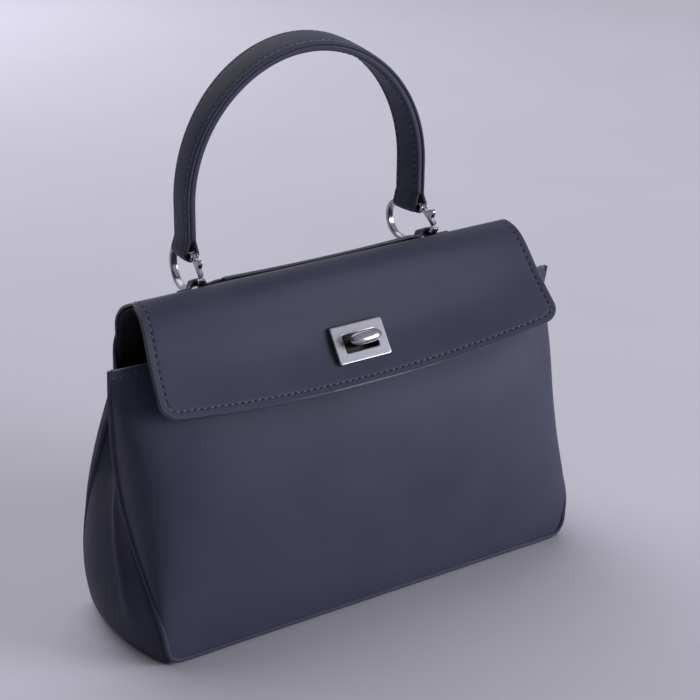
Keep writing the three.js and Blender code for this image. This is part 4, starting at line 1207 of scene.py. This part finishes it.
BAG_MIDDLE, BAG_SHOULDER = (0, 0, 0.1), (0, 0, 0.15)
lamp("window", "AREA", (2.4, -2.475, 0.55), BAG_MIDDLE, power=124, colour="#f4f5ff", size=1.8)
lamp("skylight", "SUN", (0, 0, 0), (-0.1, -1.25, -1.7), power=1.25, colour="#f6f5ff", angle=np.radians(70))
lamp("back", "AREA", (0.2, 1.9, 0.8), BAG_SHOULDER, power=8, colour="#f6f4ff", size=1.2)


# %% World
def studio_world():
    """A dim warm room lights the shaded side. The camera sees a pale backdrop. Metal sees one that darkens
    towards the left, as a room does away from its window."""
    world = bpy.data.worlds.new("studio")
    bpy.context.scene.world = world
    world.use_nodes = True
    tree = world.node_tree
    room = tree.nodes["Background"]
    room.inputs["Color"].default_value = linear("#ece5da")
    room.inputs["Strength"].default_value = 0.14
    pale = linear("#cfcdd8")
    way = add(tree, "ShaderNodeSeparateXYZ", {0: add(tree, "ShaderNodeTexCoord").outputs["Object"]})
    level = add(tree, "ShaderNodeMapRange", {"Value": way.outputs["X"]},
                {"From Min": -0.7, "From Max": 0.2, "To Min": 0.08, "To Max": 0.7})
    mirrored = add(tree, "ShaderNodeBackground", {"Strength": level.outputs["Result"]}, {"Color": pale})
    backdrop = add(tree, "ShaderNodeBackground", inputs={"Color": pale, "Strength": 0.68})
    ray = add(tree, "ShaderNodeLightPath").outputs
    lit = add(tree, "ShaderNodeMixShader",
              {0: ray["Is Glossy Ray"], 1: room.outputs[0], 2: mirrored.outputs[0]})
    seen = add(tree, "ShaderNodeMath", {0: ray["Is Camera Ray"], 1: ray["Is Transmission Ray"]},
               operation="MAXIMUM")
    add(tree, "ShaderNodeMixShader", {0: seen.outputs[0], 1: lit.outputs[0], 2: backdrop.outputs[0]},
        feeds={0: tree.nodes["World Output"].inputs["Surface"]})


studio_world()
print("world:", bpy.context.scene.world.name)

# %% [markdown]
# ## Camera
# The camera stands where the photograph's did, a little above the bag and to its left, with a long lens.
# Its place and turn were solved from the bag's edges. Writing its matrix from three directions keeps the
# small roll, which aiming it at a target would lose.

# %% Camera
AZIMUTH, ELEVATION, ROLL = np.radians(-32.9), np.radians(21.5), np.radians(-1.0)
CAMERA_AT = (-0.569, -0.9069, 0.5671)
FOCAL_PIXELS, FRAME_PIXELS, SENSOR = 1900.0, 700.0, 36.0

level = np.array([np.cos(AZIMUTH), np.sin(AZIMUTH), 0])
back = np.cos(ELEVATION) * np.cross(level, [0, 0, 1]) + np.sin(ELEVATION) * np.array([0, 0, 1])
rise = np.cross(back, level)
right = np.cos(ROLL) * level + np.sin(ROLL) * rise
upright = -np.sin(ROLL) * level + np.cos(ROLL) * rise
lens = bpy.data.cameras.new("camera")
lens.sensor_width, lens.lens = SENSOR, SENSOR * FOCAL_PIXELS / FRAME_PIXELS
camera = bpy.data.objects.new("camera", lens)
bpy.context.collection.objects.link(camera)
placed = np.eye(4)
placed[:3] = np.c_[right, upright, back, CAMERA_AT]
camera.matrix_world = Matrix(placed.tolist())
bpy.context.scene.camera = camera
bpy.context.scene.view_settings.view_transform = "Standard"
print("lens:", round(lens.lens, 1), "mm")
